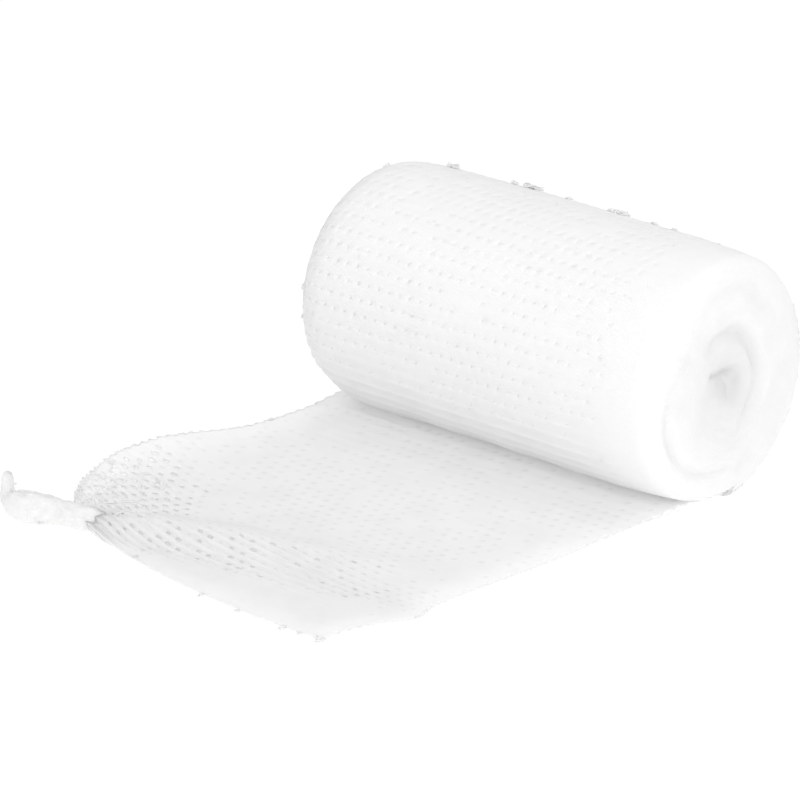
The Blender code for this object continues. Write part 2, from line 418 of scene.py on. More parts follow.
wound_cotton = cotton("wound_cotton", 0.965, 0.97, 0.84, ROLL_LIGHT_DEPTH)
loose_cotton = cotton("loose_cotton", 0.84, 0.97, 0.86, CLOTH_LIGHT_DEPTH)
thread_cotton = cotton("thread_cotton", 0.94, 0.97, 1.0, 0.0)
print("materials:", wound_cotton.name, loose_cotton.name, thread_cotton.name)

# %% [markdown]
# ## The weave
# Open gauze has rows of small holes, and each row is set half a step along from the one before.
# Between the rows the weft yarns bunch into a low rib. One tree makes this for any stretch of the
# strip: a fine grid, six by six quads to a hole, is laid over a guide form by its UV map. Round
# each hole the grid is drawn into a slanting oval. The holes are sunk and the ribs raised along
# the guide's own normal, and holes that open wide enough are cut right through. The guide also
# says where the weave opens and where the ribs stand out, so a tight winding and a slack, gathered
# end use the same tree. A hole asks the guide once, at its middle, so all of it agrees.

# %% The weave tree
CELL_STEPS = 6
NUDGE = 0.001
NUMBERS_A_ROW = 257.0
OPENS_AT = 0.22
WIDEST_OPENING = 1.25
HOLE_LEAST = 0.3
HOLE_GROWTH = 0.75
HOLE_TURN = 0.35
HOLE_FRAY = 0.3
SELVEDGE_CLOSED = (0.7, 0.9)
ENDS_CLOSED = (0.9, 1.1)
PIT_UNDER_RIB = 0.75
SELVEDGE_BAND = (0.44, 0.5)
CUT_BAND = (0.965, 1.0)
LEAST_PLACE = 0.0002


def sampled(tree, guide, kind, value, place):
    """What the guide form has at a place of its UV map."""
    uv_map = named(tree, "UVMap", "FLOAT_VECTOR")
    inputs = {"Mesh": guide, "Value": value, "UV Map": uv_map, "Sample UV": place}
    return add_node(tree, "GeometryNodeSampleUVSurface", inputs, data_type=kind)[0]


def guide_number(tree, guide, name, place):
    """A number that the guide form carries, at a place of its UV map."""
    return sampled(tree, guide, "FLOAT", named(tree, name), place)


def within(value, low, high):
    """A field kept between two values."""
    return value.reckon("MAXIMUM", low).reckon("MINIMUM", high)


def weave_tree():
    """Gauze laid over a guide form: rows of slanting oval holes between low ribs."""
    tree, size = new_shape_tree("gauze weave", {
        "Holes across": 30,
        "Hole rows": 40,
        "Hole width": 0.19,
        "Hole height": 0.11,
        "Hole slant": 0.6,
        "Lip": 0.6,
        "Lip height": 0.05 * MM,
        "Patchiness": 1.0,
        "Pit depth": 0.4 * MM,
        "Rib height": 0.15 * MM,
        "Rib place": 0.25,
        "Rib sharpness": 1.6,
        "Rib breaks": 0.9,
        # The next input sets how much painted shade the hollows between ribs get in the colour.
        "Thin between ribs": 0.0,
        "Unevenness": 0.03 * MM,
        "Row wander": 0.12,
        "Ragged selvedge": 0.0,
        "Ragged cut": 0.0,
        "Cut above": 9.0,
        "Seed": 1,
        "Material": wound_cotton,
    })
    guide = size["Geometry"]
    columns = size["Holes across"] * CELL_STEPS + 1
    rows = size["Hole rows"] * CELL_STEPS + 1
    grid_inputs = {"Size X": 1.0, "Size Y": 1.0, "Vertices X": columns, "Vertices Y": rows}
    grid, uv = add_node(tree, "GeometryNodeMeshGrid", grid_inputs)
    stored = store(tree, grid, "strip", uv)
    here = named(tree, "strip", "FLOAT_VECTOR")
    u, v, _ = add_node(tree, "ShaderNodeSeparateXYZ", {"Vector": here})

    # Which hole a point belongs to, and where it is in the hole's cell.
    row = (v * size["Hole rows"] + NUDGE).reckon("FLOOR")
    odd = row.reckon("MODULO", 2.0)
    along_row = u * size["Holes across"] + odd * 0.5
    column = (along_row + NUDGE).reckon("FLOOR")
    s = along_row - column - 0.5
    t = v * size["Hole rows"] - row - 0.5
    ring = s.reckon("ABSOLUTE").reckon("MAXIMUM", t.reckon("ABSOLUTE")) * float(CELL_STEPS)

    # How far each hole is open: by the guide at its middle, by slow patches and by chance.
    number = column + row * NUMBERS_A_ROW
    chance = by_chance(tree, size["Seed"], ID=number)
    turn = by_chance(tree, size["Seed"] + 1, -HOLE_TURN, HOLE_TURN, ID=number)
    patch = soft_noise(tree, join_xyz(tree, column, row, size["Seed"]), 0.17)
    middle_u = (column + 0.5 - odd * 0.5) / size["Holes across"]
    middle_u = within(middle_u, NUDGE, 1.0 - NUDGE)
    middle_v = ((row + 0.5) / size["Hole rows"]).reckon("MINIMUM", 1.0 - NUDGE)
    inner = middle_u.reckon("MINIMUM", 1.0 - middle_u) * size["Holes across"]
    inner = soft_rise(tree, inner, *SELVEDGE_CLOSED)
    ends = middle_v.reckon("MINIMUM", 1.0 - middle_v) * size["Hole rows"]
    ends = soft_rise(tree, ends, *ENDS_CLOSED)
    open_here = guide_number(tree, guide, "open", join_xyz(tree, middle_u, middle_v))
    spread = (patch * 1.3 + (chance - 0.5) * 0.7) * size["Patchiness"]
    opening = open_here + spread * soft_rise(tree, open_here, 0.0, 0.6)
    opening = within(opening, 0.0, WIDEST_OPENING) * inner * ends
    is_open = opening.reckon("GREATER_THAN", OPENS_AT)

    # The hole's oval, turned a little differently at each hole.
    round_it = t.reckon("ARCTAN2", s)
    slant = round_it + size["Hole slant"] + turn
    grow = (opening * HOLE_GROWTH + HOLE_LEAST) * is_open + 0.001
    wide = (slant.reckon("COSINE") / (size["Hole width"] * grow)).reckon("POWER", 2.0)
    high = (slant.reckon("SINE") / (size["Hole height"] * grow)).reckon("POWER", 2.0)
    frayed = by_chance(tree, size["Seed"] + 2, 1.0 - HOLE_FRAY, 1.0 + HOLE_FRAY)
    oval = (wide + high).reckon("SQRT").reckon("POWER", -1.0) * frayed
    reach = (s * s + t * t).reckon("SQRT")
    on_rim = ring.reckon("COMPARE", 1.0, 0.2)
    on_lip = ring.reckon("COMPARE", 2.0, 0.2)
    at_centre = ring.reckon("LESS_THAN", 0.5)
    lip_reach = reach + (oval - reach) * size["Lip"]
    wanted = on_rim * oval + on_lip * lip_reach + (1.0 - on_rim - on_lip) * reach
    scale = wanted / (reach + 0.0001)
    move = (scale - 1.0) * is_open * (on_rim + on_lip)

    # Rows wander a little; the selvedge and the cut edge are uneven.
    edges = (u * (1.0 - u) * v * (1.0 - v) * 16.0).reckon("MINIMUM", 1.0)
    slow = join_xyz(tree, u * size["Holes across"], v * size["Hole rows"], 7.0)
    elsewhere = slow.vector("ADD", (31.0, 17.0, 3.0))
    wander_u = soft_noise(tree, slow, 0.11) * size["Row wander"] * edges
    wander_v = soft_noise(tree, elsewhere, 0.09) * edges * size["Row wander"]
    side = soft_rise(tree, (u - 0.5).reckon("ABSOLUTE"), *SELVEDGE_BAND)
    scallop = (v * size["Hole rows"] * FULL_TURN).reckon("COSINE") * 0.5 + 0.5
    fray = soft_noise(tree, slow, 0.9) + 0.5
    pull = (scallop * 0.6 + fray * 0.6) * size["Ragged selvedge"] * side
    cut = soft_rise(tree, v, *CUT_BAND) * size["Ragged cut"]
    new_u = u + s * move / size["Holes across"] + wander_u / size["Holes across"]
    new_u = new_u - (u - 0.5).reckon("SIGN") * pull
    new_v = v + t * move / size["Hole rows"] + wander_v / size["Hole rows"]
    new_v = new_v - soft_noise(tree, slow, 1.7, 2.0) * cut - cut * 0.4
    inside = [within(value, LEAST_PLACE, 1.0 - LEAST_PLACE) for value in (new_u, new_v)]
    place = join_xyz(tree, *inside)

    # Heights along the guide's normal: ribs, pits, and the cloth's own unevenness.
    rib_here = guide_number(tree, guide, "rib", here)
    wave = ((t - size["Rib place"]) * FULL_TURN).reckon("COSINE") * 0.5 + 0.5
    sharp = wave.reckon("POWER", size["Rib sharpness"])
    breaks = soft_noise(tree, slow.vector("ADD", (5.0, 9.0, 11.0)), 0.35)
    strong = (breaks * size["Rib breaks"] + 1.0).reckon("MAXIMUM", 0.0)
    rib = sharp * rib_here * strong
    uneven = soft_noise(tree, slow, 1.3, 2.0) * size["Unevenness"] * 2.0
    pit = (on_rim + at_centre) * is_open * (opening * 0.6 + 0.4)
    lip = on_lip * is_open * size["Lip height"]
    sunk = pit * size["Pit depth"] * (1.0 - rib_here * PIT_UNDER_RIB)
    height = rib * size["Rib height"] + lip + uneven * edges - sunk
    # `thin` marks the pits and the hollows between ribs, where the cotton gets painted shade.
    thin = pit + (1.0 - sharp) * rib_here * size["Thin between ribs"] * (1.0 - pit)
    position = add_node(tree, "GeometryNodeInputPosition")
    normal = add_node(tree, "GeometryNodeInputNormal")[0]
    on_guide = sampled(tree, guide, "FLOAT_VECTOR", position, place)
    outward = sampled(tree, guide, "FLOAT_VECTOR", normal, place).vector("NORMALIZE", None)
    raised = on_guide.vector("ADD", outward.vector("SCALE", height))
    shaped = add_node(
        tree, "GeometryNodeSetPosition", {"Geometry": stored, "Position": raised}
    )
    new_cell = join_xyz(tree, new_u * size["Holes across"], new_v * size["Hole rows"])
    woven = store(tree, shaped, "cell", new_cell)
    with_shade_mark = store(tree, woven, "thin", thin, "FLOAT")
    mapped = store(tree, with_shade_mark, "UVMap", here, "FLOAT2", "CORNER")
    in_hole = ring.reckon("LESS_THAN", 1.0) * is_open
    cut_here = (in_hole * opening).reckon("GREATER_THAN", size["Cut above"])
    cut_inputs = {"Geometry": mapped, "Selection": cut_here}
    opened = add_node(tree, "GeometryNodeDeleteGeometry", cut_inputs, domain="FACE")
    soft = add_node(tree, "GeometryNodeSetShadeSmooth", {"Geometry": opened})
    end_shape_tree(tree, soft, size["Material"])
    return tree


weave = weave_tree()
print("weave tree:", len(weave.nodes), "nodes")

# %% [markdown]
# ## Guide forms
# A guide is a plain sheet of points laid out by a formula, with its own u and v as a UV map and
# two numbers that the weave reads: how open the cloth is there, and how clearly its ribs show.

# %% Making a guide form
Spot = namedtuple("Spot", "place open rib")


def guide_form(name, across, down, spot):
    """A sheet of across by down faces; spot(u, v) gives each point."""
    mesh, spots = plain_sheet(name, across, down, spot)
    uv_map = mesh.uv_layers.new(name="UVMap")
    for loop in mesh.loops:
        row, column = divmod(loop.vertex_index, across + 1)
        uv_map.data[loop.index].uv = (column / across, row / down)
    put_numbers(mesh, "open", [here.open for here in spots])
    put_numbers(mesh, "rib", [here.rib for here in spots])
    mesh.shade_smooth()
    return add_piece(name, mesh)


# %% [markdown]
# ## The wound roll
# The roll's side is the strip's outer turn. Its form follows the CAD solid: a cylinder a little
# out of round, a long soft shoulder at the far end and a short one at the near end, and a step
# under the roll where the outer turn ends. The weave shows clearly along the side, closes up
# towards the near end, where the turns are pressed together, and low in front only its ribs show.

# %% The roll's form
ROLL_RADIUS = 20.15 * MM
AXIS_HEIGHT = 20.2 * MM
TURN_STEP = 1.3 * MM
STEP_Y = 2.0 * MM
STEP_FADE = (0.86, 0.94)

# An end of the roll: which way it looks, how far out its face is, how the side tapers towards
# it, and the soft shoulder from the side onto the face.
End = namedtuple("End", "side reach taper_length taper_drop shoulder_length shoulder_drop")
NEAR_END = End(1, 38.0 * MM, 9.0 * MM, 0.5 * MM, 3.6 * MM, 4.8 * MM)
FAR_END = End(-1, 35.5 * MM, 4.0 * MM, 0.2 * MM, 9.0 * MM, 10.0 * MM)

# A slow swell or hollow in the roll's side: waves round it, waves along it, phase and height.
Swell = namedtuple("Swell", "round_waves long_waves phase height")
SWELLS = (
    Swell(round_waves=2, long_waves=0.5, phase=0.6, height=0.22 * MM),
    Swell(round_waves=3, long_waves=1.0, phase=2.1, height=0.14 * MM),
    Swell(round_waves=5, long_waves=1.5, phase=4.0, height=0.08 * MM),
)

# A groove between coils of an end face: an arc round its own centre, in millimetres, between two
# clock angles in degrees (0 towards +Y, 90 up). It is deepest midway and fades at both ends.
Groove = namedtuple("Groove", "y z radius width depth start stop")
NEAR_GROOVES = (
    Groove(y=-3.5, z=19.5, radius=12.3, width=0.9, depth=1.1, start=145, stop=285),
    Groove(y=-1.5, z=23.5, radius=12.6, width=1.5, depth=0.5, start=15, stop=112),
    Groove(y=-1.5, z=21.5, radius=7.6, width=1.5, depth=1.9, start=-80, stop=135),
)
FAR_GROOVES = (
    Groove(y=1.5, z=20.5, radius=11.8, width=0.9, depth=0.6, start=60, stop=200),
    Groove(y=0.5, z=19.5, radius=6.8, width=0.9, depth=0.9, start=-60, stop=170),
)

# A place where the middle turns are pinched in: an oval dent, in millimetres.
Pinch = namedtuple("Pinch", "y z half_y half_z depth")
NEAR_PINCHES = (
    Pinch(y=-2.5, z=24.5, half_y=5.5, half_z=4.5, depth=0.8),
    Pinch(y=0.0, z=17.0, half_y=5.5, half_z=4.5, depth=-0.5),
    Pinch(y=-2.4, z=23.1, half_y=2.8, half_z=0.7, depth=0.8),
    Pinch(y=-4.9, z=23.4, half_y=0.9, half_z=0.6, depth=0.7),
    Pinch(y=-2.4, z=20.8, half_y=0.3, half_z=1.3, depth=0.4),
)
FAR_PINCHES = (
    Pinch(y=0.5, z=19.5, half_y=5.5, half_z=5.5, depth=0.8),
    Pinch(y=0.2, z=19.2, half_y=1.0, half_z=2.4, depth=1.1),
)


# The near face stands out a little more at its lower right, by this many millimetres.
LEAN = 1.1
LEAN_CLOCK = math.radians(-35.0)


def face_dent(end, y, z):
    """How far an end face is pressed in at a place."""
    near = end is NEAR_END
    depth = 0.0
    if near:
        lean = y * math.cos(LEAN_CLOCK) + (z - AXIS_HEIGHT) * math.sin(LEAN_CLOCK)
        depth -= LEAN * max(lean / ROLL_RADIUS, 0.0) ** 1.5
    for groove in NEAR_GROOVES if near else FAR_GROOVES:
        across, up = y / MM - groove.y, z / MM - groove.z
        off = (math.hypot(across, up) - groove.radius) / groove.width
        if abs(off) < 3.0:
            turned = (math.degrees(math.atan2(up, across)) - groove.start) % 360.0
            share = turned / (groove.stop - groove.start)
            if share < 1.0:
                depth += groove.depth * math.exp(-off * off) * math.sin(math.pi * share) ** 0.7
    for pinch in NEAR_PINCHES if near else FAR_PINCHES:
        off_y = (y / MM - pinch.y) / pinch.half_y
        off_z = (z / MM - pinch.z) / pinch.half_z
        depth += pinch.depth * math.exp(-off_y * off_y - off_z * off_z)
    return depth * MM


def swell(angle, x):
    """The slow unevenness of the roll's side."""
    total = 0.0
    for wave in SWELLS:
        round_part = math.sin(wave.round_waves * angle + wave.phase)
        long_part = math.cos(wave.long_waves * math.pi * x / NEAR_END.reach + wave.phase)
        total += wave.height * round_part * long_part
    return total


def roll_point(x, radius, turn):
    """A point of the roll's skin. turn runs from 0, at the step, up the back to 1."""
    outer = smooth_step(*STEP_FADE, radius / ROLL_RADIUS)
    start_angle = math.asin(STEP_Y / (AXIS_HEIGHT + TURN_STEP / 2.0))
    angle = start_angle + FULL_TURN * turn
    radius += outer * (TURN_STEP * (0.5 - turn) + swell(angle, x))
    y = radius * math.sin(angle)
    z = AXIS_HEIGHT - radius * math.cos(angle)
    end = NEAR_END if x > 0.0 else FAR_END
    face = smooth_step(0.0, end.shoulder_length, abs(x) - (end.reach - end.shoulder_length))
    x -= end.side * face * face_dent(end, y, z)
    floor = 0.0 if turn < 0.5 else TURN_STEP
    return Vector((x, y, max(z, floor)))


# The shoulder turns this far, and the face swells out from there to its middle.
SHOULDER_TURN = math.radians(62.0)
SWELL_REACH = 3.2 * MM


def face_swell(end, radius):
    """How far a face swells out past its rim, where it carries on the shoulder's slope."""
    rim = ROLL_RADIUS - end.taper_drop - end.shoulder_drop * (1.0 - math.cos(SHOULDER_TURN))
    slope = end.shoulder_length / end.shoulder_drop / math.tan(SHOULDER_TURN)
    return slope * SWELL_REACH * (1.0 - math.exp(min(radius - rim, 0.0) / SWELL_REACH))


def shoulder_profile(end, steps):
    """(x, radius) from where the side starts to taper to the edge of the end's flat face."""
    corner = end.reach - end.shoulder_length
    profile = []
    for index in range(steps):
        share = index / steps
        x = corner - end.taper_length * (1.0 - share)
        profile.append((end.side * x, ROLL_RADIUS - end.taper_drop * share**2))
    for index in range(steps + 1):
        angle = SHOULDER_TURN * index / steps
        x = corner + end.shoulder_length * math.sin(angle)
        drop = end.taper_drop + end.shoulder_drop * (1.0 - math.cos(angle))
        profile.append((end.side * x, ROLL_RADIUS - drop))
    return profile


def even_profile(points, count):
    """count + 1 points at even distances along a line of (x, radius) points."""
    lengths = [0.0]
    for (x0, r0), (x1, r1) in zip(points, points[1:]):
        lengths.append(lengths[-1] + math.hypot(x1 - x0, r1 - r0))
    even = []
    index = 0
    for step in range(count + 1):
        wanted = lengths[-1] * step / count
        while index < len(points) - 2 and lengths[index + 1] < wanted:
            index += 1
        share = (wanted - lengths[index]) / (lengths[index + 1] - lengths[index])
        (x0, r0), (x1, r1) = points[index], points[index + 1]
        even.append((x0 + (x1 - x0) * share, r0 + (r1 - r0) * share))
    return even, lengths[-1]


PROFILE_STEPS = 150
TURN_STEPS = 200
profile, profile_length = even_profile(
    shoulder_profile(NEAR_END, 24)[::-1] + shoulder_profile(FAR_END, 24), PROFILE_STEPS
)
print(f"roll profile {profile_length / MM:.1f} mm from face to face")

# %% The roll's side, woven
ROLL_HOLES_ACROSS = 37
ROLL_HOLE_ROWS = 50
ROLL_OPEN = 0.45
LOW_CLOSED = 0.85
HIGH_RIB = 0.25
RIB_FADES = (9.0 * MM, 19.0 * MM)
OPEN_FADES = (20.0 * MM, 33.0 * MM)
SHOULDER_FADES = (12.0 * MM, 18.0 * MM)
FLOOR_ROOM = 0.05 * MM


def roll_spot(u, v):
    """A point of the roll's side, how open its weave is and how clear its ribs."""
    x, radius = profile[round(u * PROFILE_STEPS)]
    place = roll_point(x, radius, v)
    shown = (1.0 - smooth_step(*OPEN_FADES, x)) * smooth_step(*SHOULDER_FADES, radius)
    low_front = 1.0 - smooth_step(*RIB_FADES, place.z) if place.y < 0.0 else 0.0
    opening = ROLL_OPEN * shown * (1.0 - LOW_CLOSED * low_front)
    return Spot(place, opening, shown * (HIGH_RIB + (1.0 - HIGH_RIB) * low_front))


roll_guide = guide_form("roll guide", PROFILE_STEPS, TURN_STEPS, roll_spot)
side_mesh = run_tree(
    roll_guide,
    weave,
    Holes_across=ROLL_HOLES_ACROSS,
    Hole_rows=ROLL_HOLE_ROWS,
    Hole_width=0.115,
    Hole_height=0.036,
    Hole_slant=-0.8,
    Lip=0.75,
    Lip_height=0.05 * MM,
    Patchiness=1.0,
    Pit_depth=0.32 * MM,
    Rib_height=0.28 * MM,
    Rib_place=0.25,
    Rib_sharpness=5.0,
    Rib_breaks=2.4,
    # The hollows between ribs get painted shade, so the ribs read lighter, most of all low in
    # front.
    Thin_between_ribs=0.35,
    Unevenness=0.03 * MM,
    Row_wander=0.14,
    Material=wound_cotton,
)
print("roll side:", triangles(side_mesh), "triangles")

# %% [markdown]
# The woven side is open at the step and at both ends. The step gets a wall, and each end gets its
# face: rings of points that shrink to the middle, pressed in where the photograph shows grooves
# between the coils, with the fine spiral of the turns' edges over them. The yarns' bump runs on
# from the side over the rim, so no line shows there.

# %% Closing the roll
COIL_PITCH = 0.62 * MM
COIL_HEIGHT = 0.02 * MM
FACE_LUMPS = ((1.4 * MM, 0.08 * MM), (4.5 * MM, 0.5 * MM))
RIM_BLEND = 0.1
SAME_POINT = 0.004 * MM

# How an end face is built: its rings of points, and the middle that they shrink to.
Face = namedtuple("Face", "end rings y z")
FACES = (
    Face(end=NEAR_END, rings=56, y=-2.0 * MM, z=21.5 * MM),
    Face(end=FAR_END, rings=30, y=0.0, z=19.7 * MM),
)


def edge_order(layer, wanted):
    """The indices of points whose strip coordinates pass a test, in order along the edge."""
    found = []
    for index, item in enumerate(layer.data):
        key = wanted(item.vector)
        if key is not None:
            found.append((key, index))
    return [index for _, index in sorted(found)]


def at_edge(axis, value):
    """A test for points on one edge of the strip, giving their place along the edge."""
    def test(strip):
        return strip[1 - axis] if abs(strip[axis] - value) < 1e-5 else None
    return test


def face_point(face, start, share):
    """A point of an end face, a share of the way from its rim to the middle."""
    end = face.end
    y = start.y + (face.y - start.y) * share
    z = start.z + (face.z - start.z) * share
    turns = share * math.hypot(start.y - face.y, start.z - face.z) / (2.0 * COIL_PITCH)
    clock = math.atan2(start.z - face.z, start.y - face.y)
    coil = 0.5 - 0.5 * math.cos(FULL_TURN * turns + clock)
    spot = Vector((y, z, end.side * 0.1))
    fine = sum(noise.noise(spot / size) * height for size, height in FACE_LUMPS)
    fade = smooth_step(0.0, 0.15, share) * smooth_step(0.0, 0.25, 1.0 - share)
    dent = face_dent(end, y, z) + fade * (COIL_HEIGHT * coil + fine)
    rim = end.reach - end.shoulder_length * (1.0 - math.sin(SHOULDER_TURN))
    uneven = end.side * start.x + face_dent(end, start.y, start.z) - rim
    by_rim = 1.0 - smooth_step(0.0, RIM_BLEND, share)
    rim_radius = math.hypot(start.y, start.z - AXIS_HEIGHT)
    swell_out = face_swell(end, math.hypot(y, z - AXIS_HEIGHT))
    swell_out -= face_swell(end, rim_radius) * by_rim
    return Vector((end.side * (rim + swell_out + uneven * by_rim - dent), y, z))


def close_roll(mesh):
    """Wall the step and build the two end faces, and merge everything into one closed form."""
    strip = mesh.attributes["strip"]
    first = edge_order(strip, at_edge(1, 0.0))
    last = edge_order(strip, at_edge(1, 1.0))
    rims = [edge_order(strip, at_edge(0, value)) for value in (0.0, 1.0)]
    builder = bmesh.new()
    builder.from_mesh(mesh)
    verts = builder.verts
    skin = list(verts)
    cell = verts.layers.float_vector["cell"]
    for index in range(len(first) - 1):
        corners = [
            skin[last[index]], skin[last[index + 1]], skin[first[index + 1]], skin[first[index]]
        ]
        builder.faces.new(corners).smooth = True
    for face, rim in zip(FACES, rims):
        before = [skin[index] for index in rim]
        starts = [vertex.co.copy() for vertex in before]
        cells = [vertex[cell].copy() for vertex in before]
        for step in range(1, face.rings):
            share = step / face.rings
            ring = [verts.new(face_point(face, start, share)) for start in starts]
            for vertex, start, rim_cell in zip(ring, starts, cells):
                inward = (vertex.co.yz - start.yz).length / (COIL_PITCH * YARNS_A_CELL)
                vertex[cell] = (rim_cell.x - face.end.side * inward, rim_cell.y, 0.0)
            join_rings(builder, before, ring)
            before = ring
        close_ring(builder, before, face_point(face, starts[0], 1.0))
    bmesh.ops.remove_doubles(builder, verts=verts[:], dist=SAME_POINT)
    bmesh.ops.recalc_face_normals(builder, faces=builder.faces[:])
    for vertex in verts:
        vertex.co.z = max(vertex.co.z, FLOOR_ROOM)
    open_edges = sum(1 for edge in builder.edges if len(edge.link_faces) != 2)
    builder.to_mesh(mesh)
    builder.free()
    return open_edges


open_edges = close_roll(side_mesh)
roll = add_piece("wound_gauze_roll", side_mesh)
bpy.data.objects.remove(roll_guide, do_unlink=True)
print("wound roll:", triangles(side_mesh), "triangles,", open_edges, "open edges")

# %% [markdown]
# ## The loose end
# The strip comes out from under the roll and lies on the surface. Slack gauze shrinks along its
# length, so its rows lie closer than on the roll, closest on the fold near the cut end. One fold
# runs back from the gathered corner: its near slope is pulled into clear ribs, the cloth behind it
# towards the gather is stretched open, and the last stretch before the cut lies flat. The edges
# and the fold's crest follow the CAD solid.

# %% The loose end's form
STRIP_MIDDLE = 0.5 * MM
CUT_BOW = 3.1 * MM
FAR_LIFT_STARTS = 0.74
FAR_LIFT_POWER = 1.7
RIDGE_FAR_WIDTH = 8.0 * MM
RIDGE_NEAR_WIDTHS = (2.8 * MM, 13.0 * MM)
CUT_SETTLES = (0.94, 0.995)
WAVE_HEIGHT = 0.35 * MM
WAVE_ACROSS = 5.2 * MM
WAVE_SLANT = 9.0 * MM
WAVE_DOWN = 7.5 * MM
WAVES_START = 12.0 * MM
WAVES_FULL = 30.0 * MM

# The strip's two edges from under the roll to the cut end, in millimetres: the near edge, the
# far edge, and how high the far edge has lifted.
Station = namedtuple("Station", "near_x near_y far_x far_y far_lift")
STATIONS = (
    Station(36.4, 1.5, -36.0, 1.5, 0.0),
    Station(34.2, -6.0, -36.0, -6.0, 0.0),
    Station(32.2, -14.0, -36.5, -14.0, 0.4),
    Station(31.0, -22.0, -37.4, -22.0, 0.9),
    Station(30.2, -30.0, -38.9, -29.5, 1.8),
    Station(29.0, -37.5, -41.3, -36.5, 3.0),
    Station(27.7, -44.5, -43.2, -43.0, 3.6),
    Station(26.5, -51.0, -44.0, -49.3, 3.6),
    Station(25.7, -57.0, -43.6, -55.0, 3.2),
    Station(26.2, -62.0, -42.3, -60.0, 2.7),
    Station(21.8, -68.5, -40.0, -64.0, 2.1),
    Station(19.6, -76.0, -37.2, -66.8, 1.4),
)

# The fold's crest, from the gathered tip back across the strip, in millimetres.
CrestPoint = namedtuple("CrestPoint", "x y height")
CREST = (
    CrestPoint(-37.5, -67.2, 1.6),
    CrestPoint(-30.0, -66.0, 2.3),
    CrestPoint(-21.0, -62.3, 2.8),
    CrestPoint(-12.0, -59.5, 2.6),
    CrestPoint(-3.0, -57.0, 2.0),
    CrestPoint(6.0, -53.8, 1.3),
    CrestPoint(15.0, -49.0, 0.5),
    CrestPoint(23.0, -43.5, 0.0),
)

# Where a place lies by the fold: how high the fold lifts it, how far it is from the crest,
# which side it is on, the width of that side's slope and the crest's height there.
ByFold = namedtuple("ByFold", "lift distance near_side width height")


def by_fold(x, y):
    """How a place in plan lies by the fold's crest."""
    best = None
    last = len(CREST) - 1
    for index in range(last):
        start = CREST[index]
        stop = CREST[index + 1]
        run_x, run_y = stop.x - start.x, stop.y - start.y
        off_x, off_y = x / MM - start.x, y / MM - start.y
        share = (off_x * run_x + off_y * run_y) / (run_x**2 + run_y**2)
        share = min(max(share, 0.0), 1.0)
        away_x, away_y = off_x - run_x * share, off_y - run_y * share
        distance = math.hypot(away_x, away_y)
        if best is None or distance < best[0]:
            height = start.height + (stop.height - start.height) * share
            near_side = run_x * away_y - run_y * away_x < 0.0
            best = (distance, height, near_side, (index + share) / last)
    distance, height, near_side, progress = best
    width = RIDGE_FAR_WIDTH
    if near_side:
        low, high = RIDGE_NEAR_WIDTHS
        width = low + (high - low) * progress
    slope = max(1.0 - distance * MM / width, 0.0)
    lift = height * MM * slope * slope * (3.0 - 2.0 * slope)
    return ByFold(lift, distance * MM, near_side, width, height * MM)


def wave_lift(x, y, across):
    """The strip's slight waves, none under the roll, along its edges or at the cut end."""
    fade = smooth_step(WAVES_START, WAVES_FULL, -y)
    edges = math.sin(math.pi * across) ** 2
    wave = math.sin(x / WAVE_ACROSS + y / WAVE_SLANT) * math.sin(y / WAVE_DOWN + 1.0)
    return WAVE_HEIGHT * fade * edges * (0.5 + 0.5 * wave)


# %% [markdown]
# At the gathered corner the cloth is drawn together, and small creases run out from there. The
# rest of the cloth's form follows the CAD sheet: its edges, lifted far edge, fold and waves.

# %% The pull of the gathered corner
ROWS_CLOSE_UP = 0.1
PLEAT_WANDER = 2.5
NECK = (-37.5 * MM, -67.5 * MM)
PLEAT_WAVES = 17.0
PLEAT_HEIGHT = 0.22 * MM
PLEATS_START = (1.5 * MM, 5.0 * MM)
PLEATS_END = (8.0 * MM, 20.0 * MM)


def pleat_lift(x, y):
    """Small creases that run out from the gathered corner like the ribs of a fan."""
    reach = math.hypot(x - NECK[0], y - NECK[1])
    clock = math.atan2(y - NECK[1], x - NECK[0])
    strength = smooth_step(*PLEATS_START, reach) * (1.0 - smooth_step(*PLEATS_END, reach))
    wander = noise.noise(Vector((x, y, 0.0)) / (7.0 * MM))
    return PLEAT_HEIGHT * strength * math.cos(PLEAT_WAVES * clock + PLEAT_WANDER * wander)


def strip_share(v):
    """How far down the strip a row lies: rows are closer towards the cut end."""
    return (1.0 + ROWS_CLOSE_UP) * v - ROWS_CLOSE_UP * v**4


def strip_point(across, down):
    """The middle of the cloth: across runs near to far, down runs from the roll to the cut."""
    station = along(STATIONS, down)
    x = (station.near_x + (station.far_x - station.near_x) * across) * MM
    y = (station.near_y + (station.far_y - station.near_y) * across) * MM
    y -= CUT_BOW * 4.0 * across * (1.0 - across) * down**4
    edge = max((across - FAR_LIFT_STARTS) / (1.0 - FAR_LIFT_STARTS), 0.0)
    far_lift = max(station.far_lift, 0.0) * MM * edge**FAR_LIFT_POWER
    fold = by_fold(x, y)
    fold_lift = fold.lift * smooth_step(WAVES_START, WAVES_FULL, -y)
    if fold.near_side:
        fold_lift *= 1.0 - smooth_step(*CUT_SETTLES, down)
    lift = max(far_lift, fold_lift)
    lift += wave_lift(x, y, across)
    return Vector((x, y, lift + STRIP_MIDDLE)), fold


# The strip is pressed up against the roll where it comes out from under it.
CONTACT_LIFT = 0.6 * MM
CONTACT_ENDS = (5.0 * MM, 15.0 * MM)
LOWEST_MIDDLE = 0.3 * MM

# How open the weave is, and how clear its ribs, where the cloth is slack, on the fold's slope,
# by the gathered corner and on the flat beyond the slope.
SLACK_OPEN = 0.27
SLOPE_OPEN = 0.60
GATHER_OPEN = 1.1
FLAT_OPEN = 0.06
SLACK_RIB = 0.16
GATHER_RIB = 0.35
FLAT_RIB_LOSS = 0.6
FOLD_RISES = (0.4 * MM, 1.3 * MM)
SLOPE_STARTS = 1.6 * MM
SLOPE_FADES = (0.5 * MM, 2.5 * MM)
GATHER_REACH = (9.0 * MM, 17.0 * MM)
GATHER_CENTRE = (-38.0 * MM, -58.0 * MM)


